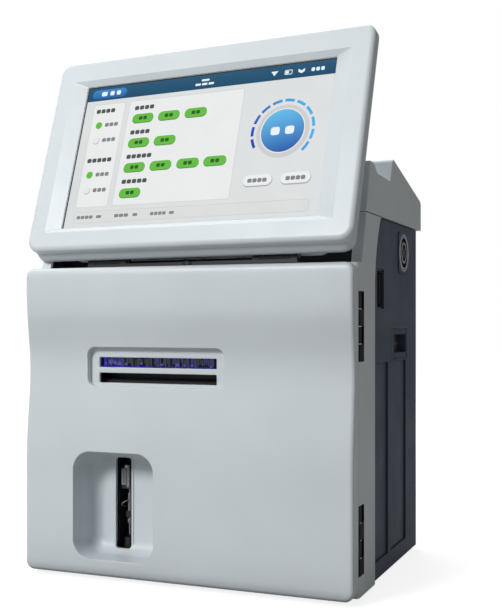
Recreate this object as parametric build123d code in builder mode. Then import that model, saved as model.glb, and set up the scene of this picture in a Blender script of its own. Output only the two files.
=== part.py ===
from build123d import *
from math import cos, radians, sin, tan
import os

os.makedirs("parts", exist_ok=True)

# X runs to the right of someone facing the front door, Y runs to the back, Z up.
# The origin is on the bench, under the middle of the whole outline, display included.

# ---------------------------------------------------------------- cabinet sizes
body_width = 313
overall_depth = 246
body_height = 320
foot_height = 4
foot_radius = 9
foot_inset = 24
wall = 3
seam = 0.8
rear_overhang = 10
panel_inset = 3
frame_side_depth = 52
frame_member = 11.5
frame_plate = 4
sheet = 1.5
running_fit = 0.06
clearance = 0.3

# ---------------------------------------------------------------- front door
door_height = 276
door_depth = 15.2
door_wall = 2.8
door_corner = 8
door_edge = 3.2
door_gap = 0.5
wave_depth = 5.7
wave_low = 104
wave_deepest = 187
wave_high = 256
hinge_radius = 4.6
hinge_setback = 9.5
hinge_height = 58
hinge_knuckles = 4
hinge_pin_radius = 1.5
knuckle_gap = 0.8
washer_thickness = 0.5
lower_hinge_z = 17.5
upper_hinge_z = 194.5
notch_depth = 7.8
hinge_leaf = 0.8

# window recess with its two slots
recess_left = -93.5
recess_right = 41
recess_bottom = 169.5
recess_top = 204.5
recess_depth = 11
recess_corner = 7.5
slot_length = 116
slot_height = 9
slot_center_x = -26.5
paper_slot_z = 177
view_slot_z = 190.9

# sampler bay
bay_left = -105.5
bay_right = -24.5
bay_bottom = 15
bay_top = 111
bay_corner = 17
bay_depth = 33
bay_round = 12
probe_slot_x = -71.6
probe_slot_width = 16.3
probe_slot_bottom = 19.4
probe_slot_top = 102.7

# ---------------------------------------------------------------- display
display_width = 325
display_height = 196
display_corner = 12
display_edge = 4.5
display_tilt = 17.12
display_yaw = -4.5
display_reach = 24.7
display_overhang = 14
display_lift = 11.2
bezel_depth = 10
display_seam = 0.4
rim_depth = 20
rim_drop = 8.5
rim_inset = 4
rim_round = 3
bulge_depth = 18
bulge_half_width = 141
bulge_taper = 9
bulge_bottom = 1
bulge_top = 168
shell_wall = 2.5
screen_width = 256
screen_height = 144
screen_bottom = 23.5
screen_sink = 5
border_slope_side = 16
border_slope_end = 6
glass_margin = 6
glass_thickness = 1.2
lcd_thickness = 4.6
cheek_setback = 10.8
cheek_width = 9.5
display_bay_depth = 24

# swivel and tilt
swivel_post_setback = 6.3
swivel_flange = 0.6
stud_radius = 3
journal_radius = 3.6
swivel_boss = 6.2
carrier_plate = 3
carrier_front = 4
carrier_back = 11
carrier_half_width = 106
lug_inner = 64
lug_thickness = 7
lug_radius = 4
tilt_axis_rise = 2
tilt_pin_radius = 2
hinge_notch_inner = 62
hinge_notch_outer = 108
hinge_notch_height = 3

# ---------------------------------------------------------------- cover outline
# heights above the seam, distances back from the door face
lip_height = 45
lip_length = 6
valley_front = 79
valley_back = 121
valley_height = 37.4
valley_fall = 1.2
ridge_front = 131
ridge_height = 58.3
ridge_round = 5
cover_rear_height = 31
cover_edge = 1

# ---------------------------------------------------------------- side drawers
drawer_depth = 127
drawer_recess = 1.8
drawer_plate = 3
drawer_gap = 0.5
drawer_wall = 1.6
drawer_bottom = 15.7
drawer_top = 190
waste_front = 68.3
waste_back = 122.5
reagent_front = 134.7
reagent_back = 191
drawer_box_height = 150

# pull and release button
pull_front = 139.7
pull_back = 196
pull_bottom = 190.7
pull_top = 222.5
pull_depth = 4
pull_hole_length = 38
pull_hole_height = 17.5
button_sink = 8
button_travel = 2.5
button_pocket = 14
vent_size = 40
vent_drop = 26
ports_depth = 12

# ---------------------------------------------------------------- inside
bulkhead_y = 66.2
printer_left = -92
printer_right = 38
printer_bottom = 122
platen_radius = 6
platen_y = 26.5
platen_z = 170
roll_radius = 17
roll_y = 44
roll_z = 131
spindle_radius = 6
sensor_left = -92
sensor_right = 38
sensor_bottom = 184
sensor_top = 252
pump_x = 92
pump_z = 225
pump_size = 60
motor_size = 42
rotor_reach = 18
roller_radius = 5
valve_x = 80
valve_z = 130
valve_size = 28
line_radius = 1.5
fan_size = 60
fan_thickness = 15
fan_x = 60
fan_z = 250
inlet_x = -96
inlet_z = 32
inlet_depth = 22
supply_left = -122
supply_width = 104
supply_height = 42
supply_gap = 22
supply_border = 12

# ---------------------------------------------------------------- datums
front_y = (display_overhang - overall_depth) / 2
rear_y = front_y + overall_depth - rear_overhang
base_z = foot_height
seam_z = base_z + body_height
half = body_width / 2
door_back_y = front_y + door_depth
frame_y = door_back_y + door_gap
frame_rear_y = frame_y + frame_side_depth
door_top_z = base_z + door_height
ledge_z = door_top_z + door_gap
inner_half = half - wall
side_half = half - panel_inset - wall
cheek_inner = half - cheek_width
lean = tan(radians(display_tilt))
bulkhead_front = front_y + bulkhead_y
bulkhead_rear = bulkhead_front + sheet
hinge_x = half - hinge_radius
hinge_y = door_back_y + hinge_setback
knuckle_pitch = hinge_height / hinge_knuckles
hinge_bottoms = (base_z + lower_hinge_z, base_z + upper_hinge_z)


def knuckle_spans(first):
    """Foot and head of every other knuckle of both hinges, from number first on."""
    return [
        (
            bottom + index * knuckle_pitch + knuckle_gap / 2,
            bottom + (index + 1) * knuckle_pitch - knuckle_gap / 2,
        )
        for bottom in hinge_bottoms
        for index in range(first, hinge_knuckles, 2)
    ]


def slanted_y(z, setback):
    """Depth at height z of a wall that leans back with the display."""
    return frame_y + setback + (z - ledge_z) * lean


def block(x, y, z, mode=Mode.ADD):
    """A box between the (low, high) pairs x, y and z, in the part being built."""
    with Locations(((x[0] + x[1]) / 2, (y[0] + y[1]) / 2, (z[0] + z[1]) / 2)):
        Box(x[1] - x[0], y[1] - y[0], z[1] - z[0], mode=mode)


def facing_front(y):
    """Sketch plane at depth y that looks at the viewer: x right, y up."""
    return Plane(origin=(0, y, 0), x_dir=(1, 0, 0), z_dir=(0, -1, 0))


def facing_right(x):
    """Sketch plane at x that looks out of the right side: x back, y up."""
    return Plane(origin=(x, 0, 0), x_dir=(0, 1, 0), z_dir=(1, 0, 0))


def rod(center, radius, start, end, axis, mode=Mode.ADD):
    """A cylinder along X, Y or Z; center holds the two other coordinates."""
    middle = (start + end) / 2
    places = {
        "X": ((middle, center[0], center[1]), (0, 90, 0)),
        "Y": ((center[0], middle, center[1]), (90, 0, 0)),
        "Z": ((center[0], center[1], middle), (0, 0, 0)),
    }
    position, turn = places[axis]
    with Locations(Location(position, turn)):
        Cylinder(radius, end - start, mode=mode)


def rounded_box(x, z, corner, y, mode=Mode.ADD):
    """A plate with rounded corners as seen from the front, from y[0] back to y[1]."""
    with BuildSketch(facing_front(y[0])) as outline:
        with Locations(((x[0] + x[1]) / 2, (z[0] + z[1]) / 2)):
            RectangleRounded(x[1] - x[0], z[1] - z[0], corner)
    extrude(outline.sketch, amount=-(y[1] - y[0]), mode=mode)


def save(piece, name):
    """Label a finished sub-part and write it under its name."""
    piece.part.label = name
    export_step(piece.part, f"parts/{name}.step")


# ================================================================ cabinet
# ---------------------------------------------------------------- front frame
panel_front_y = frame_rear_y - 1
frame_curve_z = seam_z - 66
frame_top_rear_y = frame_rear_y + 20.5
notch_back_y = hinge_y + notch_depth
notch_inner_x = hinge_x - hinge_radius - 0.8

with BuildPart() as front_frame:
    with BuildSketch(Plane.YZ):
        with BuildLine():
            Polyline(
                (frame_rear_y, frame_curve_z),
                (frame_rear_y, base_z),
                (frame_y, base_z),
                (frame_y, ledge_z),
                (slanted_y(ledge_z, cheek_setback), ledge_z),
                (slanted_y(seam_z, cheek_setback), seam_z),
                (frame_top_rear_y, seam_z),
            )
            TangentArc(
                (frame_rear_y, frame_curve_z),
                (frame_top_rear_y, seam_z),
                tangent=(0, 1),
            )
        make_face()
    extrude(amount=half, both=True)
    front_uprights = front_frame.edges().filter_by(Axis.Z).group_by(Axis.Y)[0]
    fillet(front_uprights, door_edge)
    for side_face in front_frame.faces().sort_by(Axis.X)[:: len(front_frame.faces()) - 1]:
        rear_curve = side_face.edges().filter_by(GeomType.CIRCLE)
        top_line = side_face.edges().filter_by(Axis.Y).sort_by(Axis.Z)[-1]
        fillet(rear_curve + [top_line], cover_edge)
    # hollow behind the front plate, open to the back and to the top
    block(
        (-inner_half, inner_half),
        (frame_y + frame_plate, frame_top_rear_y + wall),
        (base_z + wall, ledge_z - frame_plate),
        mode=Mode.SUBTRACT,
    )
    ledge_back_y = slanted_y(ledge_z, display_bay_depth + cheek_setback) + wall + clearance
    block(
        (-inner_half, inner_half),
        (ledge_back_y, frame_top_rear_y + wall),
        (ledge_z - frame_plate, seam_z + wall),
        mode=Mode.SUBTRACT,
    )
    # lap under the side panels
    block(
        (-inner_half, inner_half),
        (panel_front_y, frame_rear_y + wall),
        (base_z - wall, base_z + wall),
        mode=Mode.SUBTRACT,
    )
    # the bay for the display, between two boxed cheeks
    block(
        (-cheek_inner, cheek_inner),
        (frame_y - wall, frame_top_rear_y + wall),
        (ledge_z, seam_z + wall),
        mode=Mode.SUBTRACT,
    )
    with BuildSketch(Plane.YZ):
        Polygon(
            (slanted_y(ledge_z, cheek_setback + wall), ledge_z),
            (ledge_back_y, ledge_z),
            (ledge_back_y + body_height, seam_z + wall),
            (slanted_y(seam_z + wall, cheek_setback + wall), seam_z + wall),
            align=None,
        )
    extrude(amount=inner_half, both=True, mode=Mode.SUBTRACT)
    # front opening behind the door
    block(
        (-half + frame_member, half - frame_member),
        (frame_y - wall, frame_y + frame_plate),
        (base_z + frame_member, ledge_z - frame_member),
        mode=Mode.SUBTRACT,
    )
    for bottom in hinge_bottoms:
        zone = (bottom - clearance, bottom + hinge_height + clearance)
        block(
            (half - frame_member, inner_half),
            (frame_y + frame_plate, notch_back_y + wall),
            (zone[0] - wall, zone[1] + wall),
        )
        block(
            (notch_inner_x, half + wall),
            (frame_y - wall, notch_back_y),
            zone,
            mode=Mode.SUBTRACT,
        )
    # seat for the swivel post
    swivel_y = frame_y + swivel_post_setback
    stud_foot_z = ledge_z - 2 * frame_plate
    rod((0, swivel_y), stud_radius, stud_foot_z, ledge_z, "Z", Mode.SUBTRACT)
save(front_frame, "front_frame")

# ---------------------------------------------------------------- top cover
cover_z = seam_z + seam
cover_rear_y = front_y + overall_depth
lip_y = slanted_y(seam_z + lip_height, cheek_setback)
lip_back = (lip_y + lip_length, seam_z + lip_height)
valley_start = (front_y + valley_front, seam_z + valley_height)
valley_end = (front_y + valley_back, seam_z + valley_height - valley_fall)
ridge_top = (front_y + ridge_front, seam_z + ridge_height)
lip_turn = (
    (lip_back[0] + valley_start[0]) / 2,
    (lip_back[1] + valley_start[1]) / 2,
)


def cover_side():
    """Side outline of the top cover: lip, valley, ridge and rear slope."""
    with BuildSketch(Plane.YZ) as outline:
        with BuildLine():
            Polyline(
                lip_back,
                (lip_y, seam_z + lip_height),
                (slanted_y(cover_z, cheek_setback), cover_z),
                (cover_rear_y, cover_z),
                (cover_rear_y, seam_z + cover_rear_height - wall),
                (cover_rear_y - wall, seam_z + cover_rear_height),
                ridge_top,
                valley_end,
                valley_start,
            )
            TangentArc(valley_start, lip_turn, tangent=(-1, 0))
            TangentArc(lip_back, lip_turn, tangent=(1, 0))
        make_face()
        highest = outline.vertices().sort_by(Axis.Y)[-1]
        fillet(highest, ridge_round)
    return outline.sketch


def bay_prism(setback, low, high):
    """Everything in front of a leaning plane, between two heights."""
    Polygon(
        (frame_y - overall_depth, low),
        (slanted_y(low, setback), low),
        (slanted_y(high, setback), high),
        (frame_y - overall_depth, high),
        align=None,
    )


bay_setback = cheek_setback + display_bay_depth
cover_clear_z = seam_z + ridge_height + wall

with BuildPart() as top_cover:
    extrude(cover_side(), amount=half, both=True)
    for side_face in top_cover.faces().sort_by(Axis.X)[:: len(top_cover.faces()) - 1]:
        fillet(side_face.edges().sort_by(Axis.Z)[1:], cover_edge)
    inner_side = offset(cover_side(), amount=-wall, kind=Kind.INTERSECTION, mode=Mode.PRIVATE)
    extrude(inner_side, amount=inner_half, both=True, mode=Mode.SUBTRACT)
    block(
        (-inner_half, inner_half),
        (slanted_y(cover_z, cheek_setback + wall), rear_y - wall),
        (cover_z - wall, cover_z + wall + clearance),
        mode=Mode.SUBTRACT,
    )
    with BuildSketch(Plane.YZ):
        bay_prism(bay_setback, cover_z - wall, cover_clear_z)
    extrude(amount=cheek_inner, both=True, mode=Mode.SUBTRACT)
save(top_cover, "top_cover")

# ---------------------------------------------------------------- display bay wall
bay_wall_top = seam_z + valley_height - wall - 2
bay_wall = 2.5
bay_end = cheek_inner + clearance

with BuildPart() as display_bay:
    with BuildSketch(Plane.YZ):
        Polygon(
            (slanted_y(ledge_z, bay_setback), ledge_z),
            (slanted_y(ledge_z, bay_setback) + bay_wall, ledge_z),
            (slanted_y(bay_wall_top, bay_setback) + bay_wall, bay_wall_top),
            (slanted_y(bay_wall_top, bay_setback), bay_wall_top),
            align=None,
        )
    extrude(amount=bay_end + bay_wall, both=True)
    for side in (-1, 1):
        with BuildSketch(Plane.YZ.offset(side * bay_end)):
            Polygon(
                (slanted_y(ledge_z, cheek_setback + wall + clearance), ledge_z),
                (slanted_y(ledge_z, bay_setback + bay_wall), ledge_z),
                (slanted_y(bay_wall_top, bay_setback + bay_wall), bay_wall_top),
                (slanted_y(bay_wall_top, cheek_setback + wall + clearance), bay_wall_top),
                align=None,
            )
        extrude(amount=side * bay_wall)
save(display_bay, "display_bay")

# ---------------------------------------------------------------- side and rear panels
flange = 10
panel_outer = half - panel_inset
screw_radius = 1.5
screw_z = (base_z + 30, base_z + body_height / 2, seam_z - 20)


def panel_body(side):
    """One side panel with its rear flange; side is -1 for left and 1 for right."""
    inner, outer = sorted((side * side_half, side * panel_outer))
    block((inner, outer), (panel_front_y, rear_y - wall), (base_z, seam_z))
    flange_inner, flange_outer = sorted((side * (side_half - flange), side * side_half))
    block(
        (flange_inner, flange_outer),
        (rear_y - 2 * wall, rear_y - wall),
        (base_z, seam_z),
    )
    for height in screw_z:
        rod(
            (side * (side_half - flange / 2), height),
            screw_radius,
            rear_y - 2 * wall,
            rear_y - wall,
            "Y",
            Mode.SUBTRACT,
        )


with BuildPart() as left_panel:
    panel_body(-1)
save(left_panel, "left_panel")

vent_y = front_y + 180.5
vent_z = seam_z - vent_drop
ports_y = (front_y + 85, front_y + 108.3)
ports_z = (base_z + 239, base_z + 274.5)
hole_y = (front_y + pull_back - pull_hole_length - 2, front_y + pull_back - 2)
pull_mid_z = base_z + (pull_bottom + pull_top) / 2
hole_z = (pull_mid_z - pull_hole_height / 2, pull_mid_z + pull_hole_height / 2)
drawer_fronts = (
    (front_y + waste_front, front_y + waste_back),
    (front_y + reagent_front, front_y + reagent_back),
)

with BuildPart() as right_panel:
    panel_body(1)
    for low, high in drawer_fronts:
        block(
            (side_half - wall, panel_outer + wall),
            (low - drawer_gap, high + drawer_gap),
            (base_z + drawer_bottom - drawer_gap, base_z + drawer_top + drawer_gap),
            mode=Mode.SUBTRACT,
        )
    # round hole behind the vent grille
    rod((vent_y, vent_z), vent_size / 2 - wall, side_half, panel_outer, "X", Mode.SUBTRACT)
    block(
        (side_half - wall, panel_outer + wall),
        ports_y,
        ports_z,
        mode=Mode.SUBTRACT,
    )
    # boss behind the pull, its wedge and the pocket of the release button
    block(
        (side_half - button_pocket, side_half),
        (front_y + pull_front - wall, front_y + pull_back + wall),
        (base_z + drawer_top + 1, base_z + pull_top + wall),
    )
    with BuildSketch(Plane.XY.offset(base_z + pull_bottom + 1)):
        Polygon(
            (panel_outer, front_y + pull_front),
            (panel_outer - pull_depth, front_y + pull_front),
            (panel_outer - 0.4, front_y + pull_back),
            (panel_outer, front_y + pull_back),
            align=None,
        )
    extrude(amount=pull_top - pull_bottom - 2, mode=Mode.SUBTRACT)
    block(
        (side_half - button_pocket + wall, panel_outer),
        hole_y,
        hole_z,
        mode=Mode.SUBTRACT,
    )
save(right_panel, "right_panel")

with BuildPart() as side_vent:
    with BuildSketch(facing_right(panel_outer)):
        with Locations((vent_y, vent_z)):
            RectangleRounded(vent_size, vent_size, vent_size / 6)
            Circle(vent_size / 2 - 5, mode=Mode.SUBTRACT)
    extrude(amount=1)
    # rings and spokes of the guard
    with BuildSketch(facing_right(panel_outer)):
        with Locations((vent_y, vent_z)):
            Circle(vent_size / 4 + 1)
            Circle(vent_size / 4 - 1, mode=Mode.SUBTRACT)
            Circle(vent_size / 12)
            for turn in (45, 135):
                Rectangle(vent_size - 8, 2, rotation=turn)
    extrude(amount=1)
save(side_vent, "side_vent")

usb_width = 13
usb_height = 5.5
with BuildPart() as side_ports:
    block(
        (side_half - ports_depth, side_half + wall / 2),
        (ports_y[0] + clearance, ports_y[1] - clearance),
        (ports_z[0] + clearance, ports_z[1] - clearance),
    )
    block(
        (side_half - ports_depth, side_half),
        (ports_y[0] - wall, ports_y[1] + wall),
        (ports_z[0] - wall, ports_z[1] + wall),
    )
    # the well, then the two sockets in its floor
    block(
        (side_half - wall, side_half + wall),
        (ports_y[0] + 1.5, ports_y[1] - 1.5),
        (ports_z[0] + 1.5, ports_z[1] - 1.5),
        mode=Mode.SUBTRACT,
    )
    ports_mid = ((ports_y[0] + ports_y[1]) / 2, (ports_z[0] + ports_z[1]) / 2)
    for shift in (-8.5, 8.5):
        block(
            (side_half - ports_depth + wall, side_half),
            (ports_mid[0] - usb_width / 2, ports_mid[0] + usb_width / 2),
            (ports_mid[1] + shift - usb_height / 2, ports_mid[1] + shift + usb_height / 2),
            mode=Mode.SUBTRACT,
        )
save(side_ports, "side_ports")

with BuildPart() as release_button:
    button_face = panel_outer - button_sink
    block(
        (button_face - 2, button_face),
        (hole_y[0] + clearance, hole_y[1] - clearance),
        (hole_z[0] + clearance, hole_z[1] - clearance),
    )
    # grip rib across the middle
    block(
        (button_face, button_face + 1.5),
        (hole_y[0] + 4, hole_y[1] - 4),
        (pull_mid_z - 1, pull_mid_z + 1),
    )
save(release_button, "release_button")

inlet_half = (13.5, 10)
rocker_x = inlet_x + 34
rocker_half = (6.5, 9.5)
fan_hole = fan_size / 2 - 3
socket_x = -130
socket_z = (base_z + 90, base_z + 118, base_z + 146)
socket_half = (8, 7)

with BuildPart() as rear_panel:
    block((-panel_outer, panel_outer), (rear_y - wall, rear_y), (base_z, seam_z))
    # fan guard: slots in rings of four round the fan's middle
    with BuildSketch(facing_front(rear_y - wall)):
        with Locations((fan_x, base_z + fan_z)):
            Circle(fan_hole)
            Circle(fan_hole - 7, mode=Mode.SUBTRACT)
            Circle(fan_hole - 10)
            Circle(fan_hole - 17, mode=Mode.SUBTRACT)
            for turn in (45, 135):
                Rectangle(fan_size, 3, rotation=turn, mode=Mode.SUBTRACT)
    extrude(amount=-wall, mode=Mode.SUBTRACT)
    block(
        (inlet_x - inlet_half[0], inlet_x + inlet_half[0]),
        (rear_y - wall, rear_y),
        (base_z + inlet_z - inlet_half[1], base_z + inlet_z + inlet_half[1]),
        mode=Mode.SUBTRACT,
    )
    block(
        (rocker_x - rocker_half[0], rocker_x + rocker_half[0]),
        (rear_y - wall, rear_y),
        (base_z + inlet_z - rocker_half[1], base_z + inlet_z + rocker_half[1]),
        mode=Mode.SUBTRACT,
    )
    for height in socket_z:
        block(
            (socket_x - socket_half[0], socket_x + socket_half[0]),
            (rear_y - wall, rear_y),
            (height - socket_half[1], height + socket_half[1]),
            mode=Mode.SUBTRACT,
        )
    for side in (-1, 1):
        for height in screw_z:
            rod(
                (side * (side_half - flange / 2), height),
                screw_radius,
                rear_y - wall,
                rear_y,
                "Y",
                Mode.SUBTRACT,
            )
    # louvres low on the right
    for index in range(8):
        low = base_z + 60 + index * 9
        block((30, 120), (rear_y - wall, rear_y), (low, low + 3), mode=Mode.SUBTRACT)
save(rear_panel, "rear_panel")

with BuildPart() as case_screws:
    for side in (-1, 1):
        for height in screw_z:
            center = (side * (side_half - flange / 2), height)
            rod(center, screw_radius, rear_y - 2 * wall, rear_y, "Y")
            rod(center, 2 * screw_radius, rear_y, rear_y + screw_radius, "Y")
save(case_screws, "case_screws")

# ---------------------------------------------------------------- base and bulkhead
tray_rim = 12
with BuildPart() as base_tray:
    block(
        (-side_half, side_half),
        (bulkhead_rear, rear_y - 2 * wall - clearance),
        (base_z, base_z + sheet),
    )
    block(
        (-side_half, side_half),
        (bulkhead_rear, bulkhead_rear + sheet),
        (base_z, base_z + tray_rim),
    )
    block(
        (-side_half, side_half),
        (rear_y - 2 * wall - clearance - sheet, rear_y - 2 * wall - clearance),
        (base_z, base_z + tray_rim),
    )
save(base_tray, "base_tray")

pump_center = (pump_x, base_z + pump_z)
with BuildPart() as bulkhead:
    block(
        (-side_half, side_half),
        (bulkhead_front, bulkhead_rear),
        (base_z + wall, ledge_z - frame_plate),
    )
    rod(pump_center, 12, bulkhead_front, bulkhead_rear, "Y", Mode.SUBTRACT)
    # cable windows to the electronics
    for low in (60, 170):
        block(
            (-side_half + 12, -side_half + 34),
            (bulkhead_front, bulkhead_rear),
            (base_z + low, base_z + low + 40),
            mode=Mode.SUBTRACT,
        )
save(bulkhead, "bulkhead")

foot_x = side_half - foot_inset
foot_front_y = frame_y + foot_inset
foot_rear_y = rear_y - foot_inset
with BuildPart() as feet:
    for x in (-foot_x, foot_x):
        for y in (foot_front_y, foot_rear_y):
            rod((x, y), foot_radius, 0, foot_height, "Z")
    chamfer(feet.edges().group_by(Axis.Z)[0], 1)
save(feet, "feet")

# ================================================================ front door
wave = {
    "low": base_z + wave_low,
    "deep": base_z + wave_deepest,
    "high": base_z + wave_high,
}


def door_side(inset):
    """Side outline of the door; inset thins it on every side but the back."""
    face_y = front_y + inset
    low_z = base_z + inset
    high_z = door_top_z - inset
    with BuildSketch(Plane.YZ) as outline:
        with BuildLine():
            Line((door_back_y, high_z), (door_back_y, low_z))
            Line((door_back_y, low_z), (face_y, low_z))
            Line((face_y, low_z), (face_y, wave["low"]))
            Spline(
                (face_y, wave["low"]),
                (face_y + wave_depth, wave["deep"]),
                (face_y, wave["high"]),
                tangents=((0, 1), (0, 1)),
            )
            Line((face_y, wave["high"]), (face_y, high_z))
            Line((face_y, high_z), (door_back_y, high_z))
        make_face()
    return outline.sketch


def bay_block(grow, front, back, radius):
    """The bowl of the sampler bay, grown sideways, with a rounded far end."""
    with BuildPart() as bowl:
        rounded_box(
            (bay_left - grow, bay_right + grow),
            (base_z + bay_bottom - grow, base_z + bay_top + grow),
            bay_corner + grow,
            (front, back),
        )
        fillet(bowl.faces().sort_by(Axis.Y)[-1].edges(), radius)
    return bowl.part


bay_floor_y = front_y + bay_depth
bay_wall_thickness = 2.5
bay_shell = bay_block(
    bay_wall_thickness,
    front_y + wave_depth / 2,
    bay_floor_y + bay_wall_thickness,
    bay_round + bay_wall_thickness,
)
bay_hollow = bay_block(0, front_y - wall, bay_floor_y, bay_round)
recess_floor_y = front_y + recess_depth
recess_x = (recess_left, recess_right)
recess_z = (base_z + recess_bottom, base_z + recess_top)
view_z = base_z + view_slot_z
paper_z = base_z + paper_slot_z
slot_x = (slot_center_x - slot_length / 2, slot_center_x + slot_length / 2)


def slot_span(middle):
    """Low and high edge of a recess slot around its middle height."""
    return (middle - slot_height / 2, middle + slot_height / 2)


with BuildPart() as front_door:
    extrude(door_side(0), amount=half, both=True)
    fillet(front_door.edges().filter_by(Axis.Y).filter_by(GeomType.LINE), door_corner)
    face_edges = front_door.edges().filter_by_position(
        Axis.Y, front_y - 1, front_y + wave_depth + 1
    )
    creases = face_edges.filter_by(Axis.X).filter_by_position(
        Axis.Z, base_z + 1, door_top_z - 1
    )
    fillet(face_edges - creases, door_edge)
    extrude(door_side(door_wall), amount=half - door_wall, both=True, mode=Mode.SUBTRACT)
    # stiffening ribs across the back
    for height in (base_z + 135, base_z + 240):
        block(
            (-half + door_wall, half - door_wall),
            (front_y + wave_depth, door_back_y - 2),
            (height, height + 2),
        )
    # printer window recess
    rounded_box(
        (recess_x[0] - door_wall, recess_x[1] + door_wall),
        (recess_z[0] - door_wall, recess_z[1] + door_wall),
        recess_corner + door_wall,
        (front_y + wave_depth, recess_floor_y + door_wall),
    )
    rounded_box(
        recess_x, recess_z, recess_corner, (front_y - wall, recess_floor_y), Mode.SUBTRACT
    )
    for middle in (view_z, paper_z):
        rounded_box(
            slot_x, slot_span(middle), 1, (front_y, door_back_y), Mode.SUBTRACT
        )
    # sampler bay
    add(bay_shell)
    add(bay_hollow, mode=Mode.SUBTRACT)
    probe_slot_z = (base_z + probe_slot_bottom, base_z + probe_slot_top)
    probe_slot = (
        probe_slot_x - probe_slot_width / 2,
        probe_slot_x + probe_slot_width / 2,
    )
    rounded_box(
        (probe_slot[0] - 2, probe_slot[1] + 2),
        (probe_slot_z[0] - 2, probe_slot_z[1] + 2),
        5,
        (bay_floor_y - 0.8, bay_floor_y),
    )
    rounded_box(
        probe_slot, probe_slot_z, 3, (front_y, bay_floor_y + wall), Mode.SUBTRACT
    )
    # pads that carry the door's own knuckles
    for span in knuckle_spans(1):
        block((hinge_x - hinge_radius, half), (door_back_y - door_edge, door_back_y), span)
save(front_door, "front_door")

pane_thickness = 1.4
with BuildPart() as door_window:
    rounded_box(
        (slot_x[0] - 3, slot_x[1] + 3),
        (view_z - slot_height / 2 - 1.8, view_z + slot_height / 2 + 4),
        1,
        (recess_floor_y + door_wall, recess_floor_y + door_wall + pane_thickness),
    )
save(door_window, "door_window")


def knuckles(first, root):
    """Every other knuckle of both hinges on a root with the corners (x, y)."""
    bore = hinge_pin_radius + running_fit
    for foot, head in knuckle_spans(first):
        with BuildSketch(Plane.XY.offset(foot)) as outline:
            Polygon(*root, align=None)
            with Locations((hinge_x, hinge_y)):
                Circle(hinge_radius)
                Circle(bore, mode=Mode.SUBTRACT)
        extrude(outline.sketch, amount=head - foot)


with BuildPart() as door_knuckles:
    door_root = (
        (hinge_x - hinge_radius, door_back_y),
        (half, door_back_y),
        (half, hinge_y),
        (hinge_x - hinge_radius, hinge_y),
    )
    knuckles(1, door_root)
save(door_knuckles, "door_knuckles")

with BuildPart() as frame_knuckles:
    frame_root = (
        (notch_inner_x, frame_y),
        (half - door_edge, frame_y),
        (half, frame_y + door_edge),
        (half, notch_back_y),
        (notch_inner_x, notch_back_y),
    )
    knuckles(0, frame_root)
    # leaf along the back of the notch
    for bottom in hinge_bottoms:
        block(
            (notch_inner_x, half),
            (notch_back_y - hinge_leaf, notch_back_y),
            (bottom, bottom + hinge_height),
        )
save(frame_knuckles, "frame_knuckles")

with BuildPart() as door_hinge_pins:
    for bottom in hinge_bottoms:
        rod((hinge_x, hinge_y), hinge_pin_radius, bottom, bottom + hinge_height, "Z")
        # washers between the knuckles
        for index in range(1, hinge_knuckles):
            middle = bottom + index * knuckle_pitch
            rod(
                (hinge_x, hinge_y),
                hinge_radius - running_fit,
                middle - washer_thickness / 2,
                middle + washer_thickness / 2,
                "Z",
            )
save(door_hinge_pins, "door_hinge_pins")

catch_x = -half + frame_member + 9
catch_z = base_z + 150
with BuildPart() as door_catch:
    block(
        (-inner_half, catch_x),
        (frame_y + frame_plate, frame_y + frame_plate + 12),
        (catch_z - 14, catch_z + 14),
    )
    # magnet face towards the door
    block(
        (-half + frame_member, catch_x),
        (frame_y, frame_y + frame_plate),
        (catch_z - 10, catch_z + 10),
    )
save(door_catch, "door_catch")

# ================================================================ display
swivel_plane_x = (cos(radians(display_yaw)), sin(radians(display_yaw)), 0)
plate_bottom = ledge_z + swivel_flange
plate_top = plate_bottom + carrier_plate
tilt_axis_z = plate_top + tilt_axis_rise


def carrier_plane(z):
    """Level plane at height z, turned with the display, centred on the swivel."""
    return Plane(origin=(0, swivel_y, z), x_dir=swivel_plane_x, z_dir=(0, 0, 1))


tilt_plane = Plane(
    origin=(0, swivel_y, tilt_axis_z),
    x_dir=tuple(carrier_plane(0).y_dir),
    z_dir=swivel_plane_x,
)
screen_origin = carrier_plane(tilt_axis_z + display_lift).from_local_coords(
    Vector(0, -display_reach, 0)
)
tilt = radians(display_tilt)
back = carrier_plane(0).y_dir
screen_normal = back * -cos(tilt) + Vector(0, 0, sin(tilt))
screen_plane = Plane(origin=screen_origin, x_dir=swivel_plane_x, z_dir=screen_normal)

with BuildPart() as swivel_post:
    rod((0, swivel_y), swivel_boss + 2, ledge_z, plate_bottom, "Z")
    rod((0, swivel_y), journal_radius, plate_bottom, plate_top + clearance, "Z")
    rod((0, swivel_y), swivel_boss, plate_top + clearance, plate_top + 2, "Z")
    rod((0, swivel_y), stud_radius, stud_foot_z, ledge_z, "Z")
save(swivel_post, "swivel_post")

with BuildPart() as tilt_carrier:
    with BuildSketch(carrier_plane(plate_bottom)):
        with Locations((0, (carrier_back - carrier_front) / 2)):
            Rectangle(2 * carrier_half_width, carrier_front + carrier_back)
        Circle(swivel_boss)
        Circle(journal_radius + running_fit, mode=Mode.SUBTRACT)
    extrude(amount=carrier_plate)
    for side in (-1, 1):
        for inner in (lug_inner, carrier_half_width - lug_thickness):
            start = min(side * inner, side * (inner + lug_thickness))
            with BuildSketch(tilt_plane.offset(start)):
                Circle(lug_radius)
                with Locations((0, -tilt_axis_rise / 2)):
                    Rectangle(2 * lug_radius, tilt_axis_rise)
            extrude(amount=lug_thickness)
        # room for the ear of the display between the two lugs
        middle = side * (lug_inner + carrier_half_width) / 2
        gap = carrier_half_width - lug_inner - 2 * lug_thickness
        with BuildSketch(tilt_plane.offset(middle - gap / 2)):
            Circle(lug_radius + clearance)
        extrude(amount=gap, mode=Mode.SUBTRACT)
        with BuildSketch(tilt_plane.offset(middle - (gap / 2 + lug_thickness))):
            Circle(tilt_pin_radius)
        extrude(amount=gap + 2 * lug_thickness, mode=Mode.SUBTRACT)
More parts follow.
